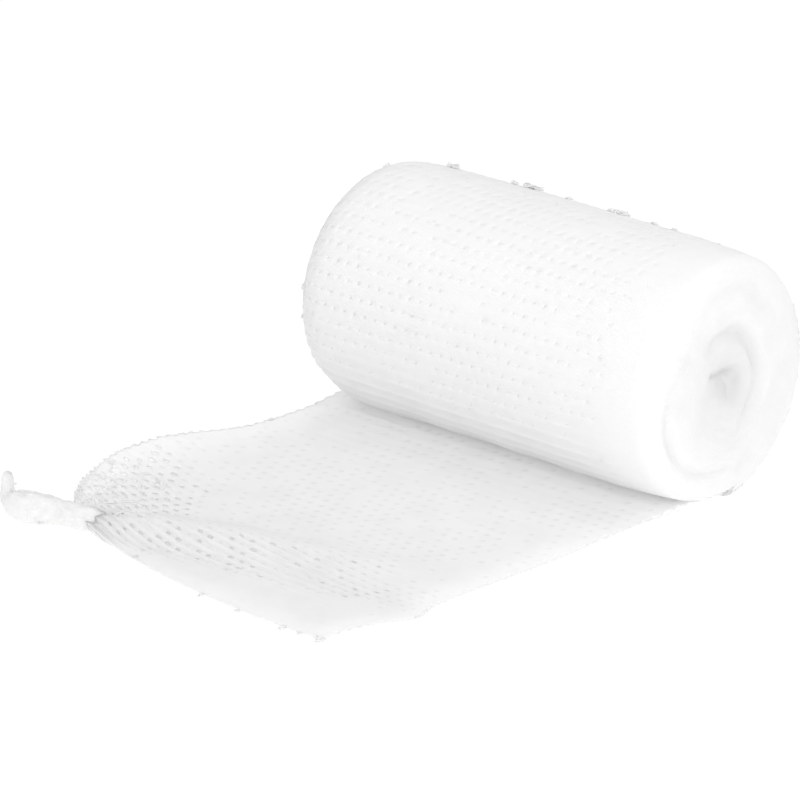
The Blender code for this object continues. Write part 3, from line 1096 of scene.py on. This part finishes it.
def strip_spot(u, v):
    """A point of the loose end, how open its weave is and how clear its ribs."""
    down = strip_share(v)
    place, fold = strip_point(u, down)
    if not fold.near_side:
        place.z += pleat_lift(place.x, place.y)
    contact = 1.0 - smooth_step(*CONTACT_ENDS, -place.y)
    place.z = max(place.z, LOWEST_MIDDLE) + CONTACT_LIFT * contact
    open_weave = SLACK_OPEN
    rib = SLACK_RIB
    raised = smooth_step(*FOLD_RISES, fold.height)
    if fold.near_side:
        before, after = SLOPE_FADES
        start = smooth_step(0.0, SLOPE_STARTS, fold.distance)
        stop = 1.0 - smooth_step(fold.width - before, fold.width + after, fold.distance)
        slope = start * stop * raised
        beyond = smooth_step(fold.width, fold.width + after, fold.distance) * raised
        open_weave += (SLOPE_OPEN - open_weave) * slope
        open_weave += (FLAT_OPEN - open_weave) * beyond
        rib += (1.0 - rib) * slope
        rib *= 1.0 - FLAT_RIB_LOSS * beyond
    gather = math.hypot(place.x - GATHER_CENTRE[0], place.y - GATHER_CENTRE[1])
    pulled = 1.0 - smooth_step(*GATHER_REACH, gather)
    if fold.near_side:
        pulled *= 1.0 - raised
    open_weave += (GATHER_OPEN - open_weave) * pulled
    rib += (GATHER_RIB - rib) * pulled
    return Spot(place, open_weave, rib)


strip_guide = guide_form("strip guide", 140, 170, strip_spot)
print("loose end's guide:", len(strip_guide.data.vertices), "points")

# %% [markdown]
# Here the widest holes are cut right through, so the surface under the gauze shows in them. The
# selvedges draw in a little at each row, and Solidify gives the cloth its thickness.

# %% The loose end, woven
STRIP_HOLES_ACROSS = 31
STRIP_HOLE_ROWS = 43
CLOTH_THICKNESS = 0.28 * MM

strip_mesh = run_tree(
    strip_guide,
    weave,
    Holes_across=STRIP_HOLES_ACROSS,
    Hole_rows=STRIP_HOLE_ROWS,
    Hole_width=0.23,
    Hole_height=0.19,
    Hole_slant=-0.4,
    Lip=0.35,
    Lip_height=0.03 * MM,
    Patchiness=1.1,
    Pit_depth=0.05 * MM,
    Rib_height=0.32 * MM,
    Rib_place=0.5,
    Rib_sharpness=4.5,
    # The hollows between the ribs get a little painted shade.
    Thin_between_ribs=0.12,
    Unevenness=0.05 * MM,
    Row_wander=0.4,
    Ragged_selvedge=0.011,
    Ragged_cut=0.010,
    Cut_above=0.6,
    Seed=5,
    Material=loose_cotton,
)
strip = add_piece("loose_gauze_strip", strip_mesh)
bpy.data.objects.remove(strip_guide, do_unlink=True)
thickness = strip.modifiers.new("thickness", "SOLIDIFY")
thickness.thickness = CLOTH_THICKNESS
thickness.offset = 0.0
print("loose end:", 2 * triangles(strip_mesh), "triangles without its rims")

# %% [markdown]
# ## The twisted tip
# The corner is gathered and twisted like a sweet wrapper, and its end hooks up. A tube lofted
# along the CAD solid's centre line starts inside the gathered cloth. Creases wind round it a
# little more than once, noise makes it lumpy, and the yarns are a bump.

# %% The twisted tip
TipPoint = namedtuple("TipPoint", "x y z radius")
TIP = (
    TipPoint(-28.6, -65.3, 1.2, 0.7),
    TipPoint(-32.4, -66.1, 1.2, 1.65),
    TipPoint(-35.6, -67.0, 1.5, 2.1),
    TipPoint(-38.4, -67.9, 1.8, 2.0),
    TipPoint(-40.5, -69.5, 2.4, 2.3),
    TipPoint(-43.0, -70.8, 2.6, 2.5),
    TipPoint(-45.4, -71.2, 2.6, 2.2),
    TipPoint(-46.9, -71.0, 3.4, 1.4),
    TipPoint(-47.3, -70.8, 5.0, 1.0),
    TipPoint(-47.4, -70.5, 6.3, 0.9),
    TipPoint(-47.2, -70.3, 6.9, 0.5),
)
TIP_SIDES = 60
TIP_STEPS = 150
TIP_LOBES = 3
TIP_LOBE_DEPTH = 0.05
TIP_TWIST = math.radians(300.0)
TIP_LUMPS = ((1.3 * MM, 0.12), (0.5 * MM, 0.05))
CREASES = 5
CREASE_DEPTH = 0.06
CREASE_WIDTH = 0.20
CREASE_TWIST = math.radians(380.0)
CREASE_SHIFT = 0.5
CREASE_UNEVENNESS = 0.3
LEAST_TIP_RADIUS = 0.2
CELLS_ROUND = 1.5
CELLS_ALONG = 10.0
CELL_LEAN = 0.4


def crease(angle, twist):
    """How deep the winding creases press in at an angle round the tip."""
    depth = 0.0
    for number in range(CREASES):
        shift = CREASE_SHIFT * math.sin(3.0 * number)
        centre = FULL_TURN * number / CREASES + shift + twist
        off = math.atan2(math.sin(angle - centre), math.cos(angle - centre))
        uneven = CREASE_UNEVENNESS * math.cos(2.0 * number)
        depth += math.exp(-((off / CREASE_WIDTH) ** 2)) * (1.0 - CREASE_UNEVENNESS + uneven)
    return depth


def build_tip():
    """The gathered corner as one twisted strand."""
    spine = [along(TIP, step / TIP_STEPS) for step in range(TIP_STEPS + 1)]
    centres = [Vector((point.x, point.y, point.z)) * MM for point in spine]
    builder = bmesh.new()
    cell = builder.verts.layers.float_vector.new("cell")
    rings = []
    side = Vector((0.0, 0.0, 1.0))
    for index, point in enumerate(spine):
        share = index / TIP_STEPS
        ahead = centres[min(index + 1, TIP_STEPS)] - centres[max(index - 1, 0)]
        ahead.normalize()
        side = (side - ahead * side.dot(ahead)).normalized()
        other = ahead.cross(side)
        ring = []
        for number in range(TIP_SIDES):
            angle = FULL_TURN * number / TIP_SIDES
            lobe = 1.0 + TIP_LOBE_DEPTH * math.cos(TIP_LOBES * angle + TIP_TWIST * share)
            press = CREASE_DEPTH * crease(angle, CREASE_TWIST * share)
            radius = max(point.radius, LEAST_TIP_RADIUS) * MM * (lobe - press)
            place = centres[index] + (side * math.cos(angle) + other * math.sin(angle)) * radius
            lump = sum(noise.noise(place / size) * height for size, height in TIP_LUMPS)
            place += (place - centres[index]) * lump
            place.z = max(place.z, FLOOR_ROOM)
            vertex = builder.verts.new(place)
            vertex[cell] = (angle * CELLS_ROUND, share * CELLS_ALONG + angle * CELL_LEAN, 0.0)
            ring.append(vertex)
        rings.append(ring)
    for before, after in zip(rings, rings[1:]):
        join_rings(builder, before, after)
    for end in (0, -1):
        close_ring(builder, rings[end], centres[end])
    bmesh.ops.recalc_face_normals(builder, faces=builder.faces[:])
    mesh = bpy.data.meshes.new("twisted tip")
    builder.to_mesh(mesh)
    builder.free()
    mesh.materials.append(loose_cotton)
    return add_piece("twisted_tip", mesh)


tip = build_tip()
print("twisted tip:", triangles(tip.data), "triangles")

# %% [markdown]
# ## Loose threads
# Cut gauze sheds: ends of yarn stand out along the cut, small tangles of lint sit on the roll, and
# the selvedges have little loops where the weft turns back. Each thread is a line of points with a
# thickness, and one tree turns all the lines of a piece into thin tubes. The lines come from
# seeded chance. On the roll they start where a ray from outside meets its skin, and on the loose
# end where the cloth's own form puts them.

# %% The thread tree
Thread = namedtuple("Thread", "points thickness")


def thread_tree():
    """Lines of points, each with a thickness, made into thin closed tubes."""
    tree, size = new_shape_tree("loose threads", {"Sides": 5, "Material": thread_cotton})
    curves = add_node(tree, "GeometryNodeMeshToCurve", {"Mesh": size["Geometry"]})
    round_inputs = {"Resolution": size["Sides"], "Radius": 1.0}
    circle = add_node(tree, "GeometryNodeCurvePrimitiveCircle", round_inputs)
    tube_inputs = {"Curve": curves, "Profile Curve": circle, "Fill Caps": True}
    tube_inputs["Scale"] = named(tree, "thickness")
    tubes = add_node(tree, "GeometryNodeCurveToMesh", tube_inputs)
    soft = add_node(tree, "GeometryNodeSetShadeSmooth", {"Geometry": tubes})
    end_shape_tree(tree, soft, size["Material"])
    return tree


threads_to_tubes = thread_tree()


def lay_threads(name, threads):
    """A piece made of threads."""
    points = []
    edges = []
    thicknesses = []
    for thread in threads:
        first = len(points)
        points.extend(thread.points)
        count = len(thread.points)
        edges.extend((first + index, first + index + 1) for index in range(count - 1))
        for index in range(count):
            end = min(index, count - 1 - index) / 2.0
            thicknesses.append(thread.thickness * (0.6 + 0.4 * min(end, 1.0)))
    mesh = bpy.data.meshes.new(name)
    mesh.from_pydata(points, edges, [])
    put_numbers(mesh, "thickness", thicknesses)
    lines = add_piece(name + " lines", mesh)
    tubes = run_tree(lines, threads_to_tubes, Material=thread_cotton)
    bpy.data.objects.remove(lines, do_unlink=True)
    piece = add_piece(name, tubes)
    print(f"{name}: {len(threads)} threads, {triangles(tubes)} triangles")
    return piece


# %% [markdown]
# A thread needs a place on the cloth and the direction that leads away from it. On the roll a ray
# finds both, so lint can be placed by a clock angle. A tangle is a few short winding lines.

# %% Where the threads start
OUTSIDE = 30.0
PATH_POINTS = 12
PATH_SIZES = (0.35, 0.7)
THICKNESSES = (0.7, 1.1)
WAVE_RATES = (0.6, 2.2)
TANGLE_SPREAD = 0.4
roll_skin = BVHTree.FromPolygons(
    [vertex.co for vertex in side_mesh.vertices], [face.vertices for face in side_mesh.polygons]
)


def on_roll(x, clock):
    """The place and outward direction on the roll at x and a clock angle in degrees."""
    out = Vector((0.0, math.cos(math.radians(clock)), math.sin(math.radians(clock))))
    start = Vector((x * MM, 0.0, AXIS_HEIGHT)) + out * OUTSIDE * MM
    place, normal, _, _ = roll_skin.ray_cast(start, -out)
    return place, normal


def wind(rand, place, out, size, steps):
    """A small winding line that starts at a place and stays on its outer side."""
    side = out.orthogonal().normalized()
    other = out.cross(side)
    waves = [(rand.uniform(*WAVE_RATES), rand.uniform(0.0, FULL_TURN)) for _ in range(3)]
    points = []
    for step in range(steps):
        share = step / (steps - 1)
        swing = [math.sin(FULL_TURN * rate * share + phase) for rate, phase in waves]
        rise = 0.05 + 0.6 * math.sin(math.pi * share) * (0.5 + 0.5 * swing[2])
        points.append(place + (side * swing[0] + other * swing[1]) * size + out * rise * size)
    return points


def tangle(rand, place, out, size, count, thickness):
    """A small tangle of lint."""
    threads = []
    for _ in range(count):
        shift = Vector([rand.uniform(-1.0, 1.0) for _ in range(3)]) * size * TANGLE_SPREAD
        shift -= out * min(shift.dot(out), 0.0)
        path = wind(rand, place + shift, out, size * rand.uniform(*PATH_SIZES), PATH_POINTS)
        threads.append(Thread(path, thickness * rand.uniform(*THICKNESSES)))
    return threads


# %% [markdown]
# Lint clings to the roll's top, its far side and its near rim. The tangles that show are placed
# one by one, and chance scatters smaller specks over the rest.

# %% Lint on the roll
# Where a tangle is, along the roll in millimetres and by clock angle, its size and its threads.
Tangle = namedtuple("Tangle", "x clock size count")
ROLL_TANGLES = (
    Tangle(-31.0, 84, 0.5, 6),
    Tangle(-22.6, 66, 0.8, 10),
    Tangle(-11.0, 64, 0.6, 8),
    Tangle(-8.3, 63, 0.9, 12),
    Tangle(-6.6, 63, 0.7, 9),
    Tangle(-0.2, 64, 0.45, 6),
    Tangle(8.0, 64, 0.6, 8),
    Tangle(10.2, 63, 0.8, 10),
    Tangle(16.5, 64, 0.5, 6),
    Tangle(20.3, 64, 0.45, 5),
    Tangle(-33.0, 168, 0.4, 5),
    Tangle(-33.4, 186, 0.4, 5),
    Tangle(36.2, -32, 0.6, 8),
)
LINT_THICKNESS = 0.09 * MM
LINT_SPECKS = 36
SPECK_PLACES = (-30.0, 30.0)
SPECK_CLOCKS = (-30.0, 215.0)
SPECK_SIZES = (0.15, 0.3)

rand = random.Random(11)
lint = []
for spot in ROLL_TANGLES:
    place, out = on_roll(spot.x, spot.clock)
    lint += tangle(rand, place, out, 1.35 * spot.size * MM, spot.count + 4, LINT_THICKNESS)
for _ in range(LINT_SPECKS):
    place, out = on_roll(rand.uniform(*SPECK_PLACES), rand.uniform(*SPECK_CLOCKS))
    lint += tangle(rand, place, out, rand.uniform(*SPECK_SIZES) * MM, 2, 0.6 * LINT_THICKNESS)
roll_lint = lay_threads("roll_lint", lint)

# %% [markdown]
# The selvedges of the outer turns show as rows of small lumps along the near rim's lower right,
# made as two wavy lines round the roll.

# %% Loops round the near rim
RIM_LOOPS = 27
RIM_STEPS = 8
RIM_THICKNESS = 0.16 * MM
RIM_START = -98.0
RIM_ARC = 120.0

# Where along the roll each line of loops lies, its lift and its height, in millimetres.
RIM_LINES = ((35.6, -0.10, 0.24), (36.7, -0.12, 0.18))


def rim_line(rand, x, lift, height):
    """A wavy line round the roll at x, lifted off its skin."""
    points = []
    count = RIM_LOOPS * RIM_STEPS
    phase = rand.uniform(0.0, 6.0)
    for index in range(count + 1):
        clock = RIM_START + RIM_ARC * index / count
        rough = noise.noise(Vector((index * 0.07, x, phase)))
        wave = math.sin(FULL_TURN * RIM_LOOPS * index / count + phase + 5.0 * rough)
        place, out = on_roll(x + 0.35 * wave + 0.5 * rough, clock)
        points.append(place + out * (lift + height * (0.5 + 0.5 * wave) * (0.8 + rough)) * MM)
    return Thread(points, RIM_THICKNESS)


rim_threads = [rim_line(rand, *line) for line in RIM_LINES]
rim_loops = lay_threads("near_rim_loops", rim_threads)

# %% [markdown]
# Cut yarns have frayed into lumps along the cut, on the far selvedge and round the twisted tip.
# The selvedges have lines of small loops, where the weft turns back.

# %% Frayed ends on the loose end
# Where a lump is and how large, in millimetres, and how many threads it has.
Fray = namedtuple("Fray", "x y z size count")
FRAYS = (
    Fray(-36.9, -20.5, 1.2, 0.5, 7),
    Fray(-20.8, -71.1, 0.4, 0.6, 8),
    Fray(-4.2, -75.6, 0.4, 0.6, 8),
    Fray(3.4, -76.2, 0.4, 0.5, 6),
    Fray(12.4, -76.6, 0.4, 0.8, 10),
    Fray(15.5, -76.3, 0.4, 0.5, 6),
    Fray(19.4, -76.0, 0.4, 0.9, 14),
    Fray(25.9, -61.6, 0.4, 0.4, 5),
    Fray(-40.4, -70.9, 0.4, 0.6, 9),
    Fray(-36.5, -68.6, 0.5, 0.4, 6),
    Fray(-34.6, -67.9, 0.8, 0.35, 5),
    Fray(-46.6, -69.9, 4.9, 0.4, 6),
    Fray(-47.9, -71.3, 2.2, 0.35, 5),
)
FRAY_THICKNESS = 0.09 * MM
LOOP_STEPS = 8

# A selvedge's line of small loops: where across the strip it runs, how far its loops reach out,
# where down the strip it starts and stops, how many loops it has and how thick it is.
EdgeLine = namedtuple("EdgeLine", "across out start stop loops thickness")
EDGE_LINES = (
    EdgeLine(across=0.992, out=0.010, start=0.05, stop=0.93, loops=42, thickness=0.07 * MM),
    EdgeLine(across=0.985, out=0.008, start=0.05, stop=0.93, loops=49, thickness=0.06 * MM),
    EdgeLine(across=0.0, out=0.003, start=0.10, stop=0.97, loops=42, thickness=0.08 * MM),
)


def edge_place(across, down):
    """A place near an edge of the loose end, lifted onto its top."""
    place, _ = strip_point(across, down)
    return Vector((place.x, place.y, max(place.z, LOWEST_MIDDLE) + 0.08 * MM))


def edge_line(rand, line):
    """A thread that follows a selvedge in small loops."""
    points = []
    count = line.loops * LOOP_STEPS
    side = 1.0 if line.across > 0.5 else -1.0
    for index in range(count + 1):
        share = index / count
        rough = rand.uniform(0.7, 1.3)
        wave = 0.5 - 0.5 * math.cos(FULL_TURN * line.loops * share)
        lean = 0.25 * math.sin(FULL_TURN * line.loops * share) / line.loops
        across = line.across + side * line.out * (wave**2 * rough - 0.4)
        points.append(edge_place(across, line.start + (line.stop - line.start) * (share + lean)))
    return Thread(points, line.thickness)


rand = random.Random(23)
loose = [edge_line(rand, line) for line in EDGE_LINES]
up = Vector((0.0, 0.0, 1.0))
for spot in FRAYS:
    place = Vector((spot.x, spot.y, spot.z)) * MM
    loose += tangle(rand, place, up, spot.size * MM, spot.count, FRAY_THICKNESS)

# %% [markdown]
# Two yarns have come away from the cut beside the gathered corner. Where the loose end goes under
# the roll a row of floating yarns catches the light, and stray strands lie round the corner.

# %% Pulled yarns
PULLED_YARNS = (
    ((-36.4, -67.3, 1.4), (-34.0, -68.1, 0.9), (-31.2, -69.1, 0.6), (-28.0, -70.0, 0.4)),
    ((-35.6, -66.9, 1.3), (-33.0, -68.0, 0.9), (-30.0, -69.2, 0.6), (-26.8, -70.2, 0.4)),
)
FloatPoint = namedtuple("FloatPoint", "x y z")
FLOATS = 15
STRANDS = 60
FLOAT_PITCH = 2.1
FLOAT_START = (-12.0, -6.0, 1.25)
FLOAT_RISE = 0.22
PULLED_STEPS = 20
FLOAT_STEPS = 6
STRAND_STEPS = 8
STRAND_ACROSS = (0.80, 0.985)
STRAND_DOWN = (0.62, 0.90)
STRAND_LENGTHS = (1.2, 3.2)
STRAND_THICKNESSES = (0.07, 0.12)
STRAND_LIFT = 0.25 * MM
PULLED_THICKNESS = 0.10 * MM
FLOAT_THICKNESS = 0.13 * MM

for line in PULLED_YARNS:
    rows = [FloatPoint(*point) for point in line]
    shares = [step / PULLED_STEPS for step in range(PULLED_STEPS + 1)]
    points = [Vector(along(rows, share)) * MM for share in shares]
    loose.append(Thread(points, PULLED_THICKNESS))
for index in range(FLOATS):
    x = FLOAT_START[0] + FLOAT_PITCH * index + rand.uniform(-0.3, 0.3)
    y = FLOAT_START[1] + rand.uniform(-0.25, 0.25)
    half = rand.uniform(0.35, 0.6)
    points = []
    for step in range(FLOAT_STEPS + 1):
        share = step / FLOAT_STEPS
        rise = FLOAT_RISE * math.sin(math.pi * share)
        points.append(Vector((x + half * (2.0 * share - 1.0), y, FLOAT_START[2] + rise)) * MM)
    loose.append(Thread(points, FLOAT_THICKNESS))
for _ in range(STRANDS):
    across, down = rand.uniform(*STRAND_ACROSS), rand.uniform(*STRAND_DOWN)
    heading = rand.uniform(0.0, math.pi)
    length = rand.uniform(*STRAND_LENGTHS) * MM
    bend = rand.uniform(-0.6, 0.6)
    middle, _ = strip_point(across, down)
    points = []
    for step in range(STRAND_STEPS + 1):
        share = step / STRAND_STEPS - 0.5
        clock = heading + bend * share * 2.0
        x = middle.x + length * share * math.cos(clock)
        y = middle.y + length * share * math.sin(clock)
        arch = 0.1 * MM * math.cos(6.0 * share)
        points.append(Vector((x, y, middle.z + STRAND_LIFT + arch)))
    loose.append(Thread(points, rand.uniform(*STRAND_THICKNESSES) * MM))
loose_ends = lay_threads("frayed_threads", loose)
for thing in (roll_lint, rim_loops, loose_ends):
    for vertex in thing.data.vertices:
        vertex.co.z = max(vertex.co.z, FLOOR_ROOM)

# %% [markdown]
# ## Floor and light
# The ground in the photograph is pure white and bears no shadow, like an overexposed sheet of
# paper. So the floor gives off nearly all its light itself. Under the loose end lies a sheet of
# painted shade that glows less, more so away from the edges, so the holes there look darker than
# the ground. The strongest soft light stands at the camera's right and gives the roll its shape.
# Four more light its top, its near face and its low front, and the room is evenly bright. A grey
# card left of the frame keeps light off the roll's far end, whose rim is darker in the photograph.

# %% Floor, light and room
FLOOR_SIZE = 6.0
FLOOR_COLOUR = 0.10
FLOOR_GLOW = 0.96
# The painted shade under the loose end: its colour, its weaker glow, its height and its steps.
PAINTED_SHADE_COLOUR = 0.50
PAINTED_SHADE_GLOW = 0.45
COVERED_HEIGHT = 0.02 * MM
COVERED_STEPS = 60
ROOM_LIGHT = 0.70
TARGET = Vector((-0.01, -0.02, 0.015))
CARD_ACROSS = -0.18
CARD_AHEAD = 0.14
CARD_WIDTH = 0.30
CARD_HEIGHT = 0.17
CARD_GREY = 0.10

# A soft light: where it stands, its size and its power in watts.
SoftLight = namedtuple("SoftLight", "place size power")
SOFT_LIGHTS = {
    "key": SoftLight(place=(1.25, -0.96, 1.06), size=1.1, power=5.7),
    "top": SoftLight(place=(0.0, 0.15, 1.7), size=1.1, power=4.7),
    "side": SoftLight(place=(1.7, -0.5, 0.3), size=0.9, power=2.2),
    "front": SoftLight(place=(0.3, -1.5, 1.2), size=1.0, power=2.9),
    "low_front": SoftLight(place=(-0.75, -1.45, 0.5), size=1.0, power=2.8),
}


def floor_material():
    """Plain matt white that glows; under the loose end it glows less, as painted shade."""
    material, shader = new_material("pale_floor", 1.0, 0.0)
    tree = material.node_tree
    shader.inputs["Emission Color"].default_value = (1.0, 1.0, 1.0, 1.0)
    # Painted shade: under the loose end the floor's colour and glow move towards the shaded
    # sheet's.
    covered = add_node(tree, "ShaderNodeAttribute", attribute_name="covered")[2]
    colour = covered * (PAINTED_SHADE_COLOUR - FLOOR_COLOUR) + FLOOR_COLOUR
    glow = covered * (PAINTED_SHADE_GLOW - FLOOR_GLOW) + FLOOR_GLOW
    plug(tree, shader.inputs["Base Color"], join_xyz(tree, colour, colour, colour))
    plug(tree, shader.inputs["Emission Strength"], glow)
    return material


def make_floor(material):
    """A flat sheet under everything."""
    builder = bmesh.new()
    bmesh.ops.create_grid(builder, x_segments=8, y_segments=8, size=FLOOR_SIZE / 2.0)
    mesh = bpy.data.meshes.new("floor")
    builder.to_mesh(mesh)
    builder.free()
    mesh.materials.append(material)
    floor = add_piece("floor", mesh)


# The sheet of painted shade stays just inside the loose end, and its glow fades over these shares.
COVERED_ACROSS = (0.01, 0.98)
COVERED_DOWN = (0.05, 0.94)
SIDES_FADE = 0.08
ROLL_FADE = 0.35
CUT_FADE = 0.06
Covered = namedtuple("Covered", "place covered")


def painted_shade_spot(u, v):
    """A point of the floor under the loose end, and how deep its painted shade is there."""
    across = COVERED_ACROSS[0] + COVERED_ACROSS[1] * u
    place, _ = strip_point(across, COVERED_DOWN[0] + COVERED_DOWN[1] * v)
    sides = smooth_step(0.0, SIDES_FADE, min(u, 1.0 - u))
    ends = smooth_step(0.0, ROLL_FADE, v) * smooth_step(0.0, CUT_FADE, 1.0 - v)
    return Covered((place.x, place.y, COVERED_HEIGHT), sides * ends)


def make_painted_shade_floor(material):
    """The floor right under the loose end, a hair above the rest of it: a sheet of painted shade.
    """
    mesh, spots = plain_sheet("covered floor", COVERED_STEPS, COVERED_STEPS, painted_shade_spot)
    put_numbers(mesh, "covered", [here.covered for here in spots])
    mesh.materials.append(material)
    sheet = add_piece("painted_shade_floor", mesh)


def make_card():
    """A grey card that stands left of the frame and keeps light off the roll's far end."""
    half = CARD_WIDTH / 2.0
    _, right, _ = camera_directions()
    ahead = Vector((-right.y, right.x, 0.0))
    middle = right * CARD_ACROSS + ahead * CARD_AHEAD
    up = Vector((0.0, 0.0, CARD_HEIGHT))
    corners = [middle - ahead * half, middle + ahead * half]
    mesh = bpy.data.meshes.new("card")
    mesh.from_pydata([*corners, corners[1] + up, corners[0] + up], [], [(0, 1, 2, 3)])
    material, shader = new_material("grey_card", 1.0, 0.5)
    shader.inputs["Base Color"].default_value = (CARD_GREY, CARD_GREY, CARD_GREY, 1.0)
    mesh.materials.append(material)
    card = add_piece("card", mesh)


def make_light(name, soft):
    """A soft square light that looks at the bandage."""
    lamp = bpy.data.lights.new(name, "AREA")
    lamp.shape = "SQUARE"
    lamp.size = soft.size
    lamp.energy = soft.power
    light = bpy.data.objects.new(name, lamp)
    place = Vector(soft.place)
    light.location = place
    light.rotation_euler = (place - TARGET).to_track_quat("Z", "Y").to_euler()
    bpy.context.scene.collection.objects.link(light)


def make_room():
    """An even pale surround."""
    world = bpy.data.worlds.new("room")
    world.use_nodes = True
    background = world.node_tree.nodes["Background"]
    background.inputs["Color"].default_value = (1.0, 1.0, 1.0, 1.0)
    background.inputs["Strength"].default_value = ROOM_LIGHT
    bpy.context.scene.world = world


pale_floor = floor_material()
make_floor(pale_floor)
make_painted_shade_floor(pale_floor)
make_card()
for name, soft in SOFT_LIGHTS.items():
    make_light(name, soft)
make_room()
bpy.context.scene.view_settings.view_transform = "Standard"
bpy.context.scene.view_settings.look = "None"
print("floor, lights and room ready")

# %% [markdown]
# ## Placing the pieces in the frame
# The part has no joints, so everything rides on the one body, and each piece hides the CAD solid
# that it stands for.

# %% Riding and replacing
for piece, slot, node in (
    (roll, "wound_gauze", "wound_roll"),
    (strip, "loose_gauze", "loose_end"),
    (tip, "loose_gauze", "loose_end"),
    (roll_lint, "wound_gauze", "wound_roll"),
    (rim_loops, "wound_gauze", "wound_roll"),
    (loose_ends, "loose_gauze", "loose_end"),
):
    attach(piece, "root")
    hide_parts(node)

# %% Done
print("all pieces placed")
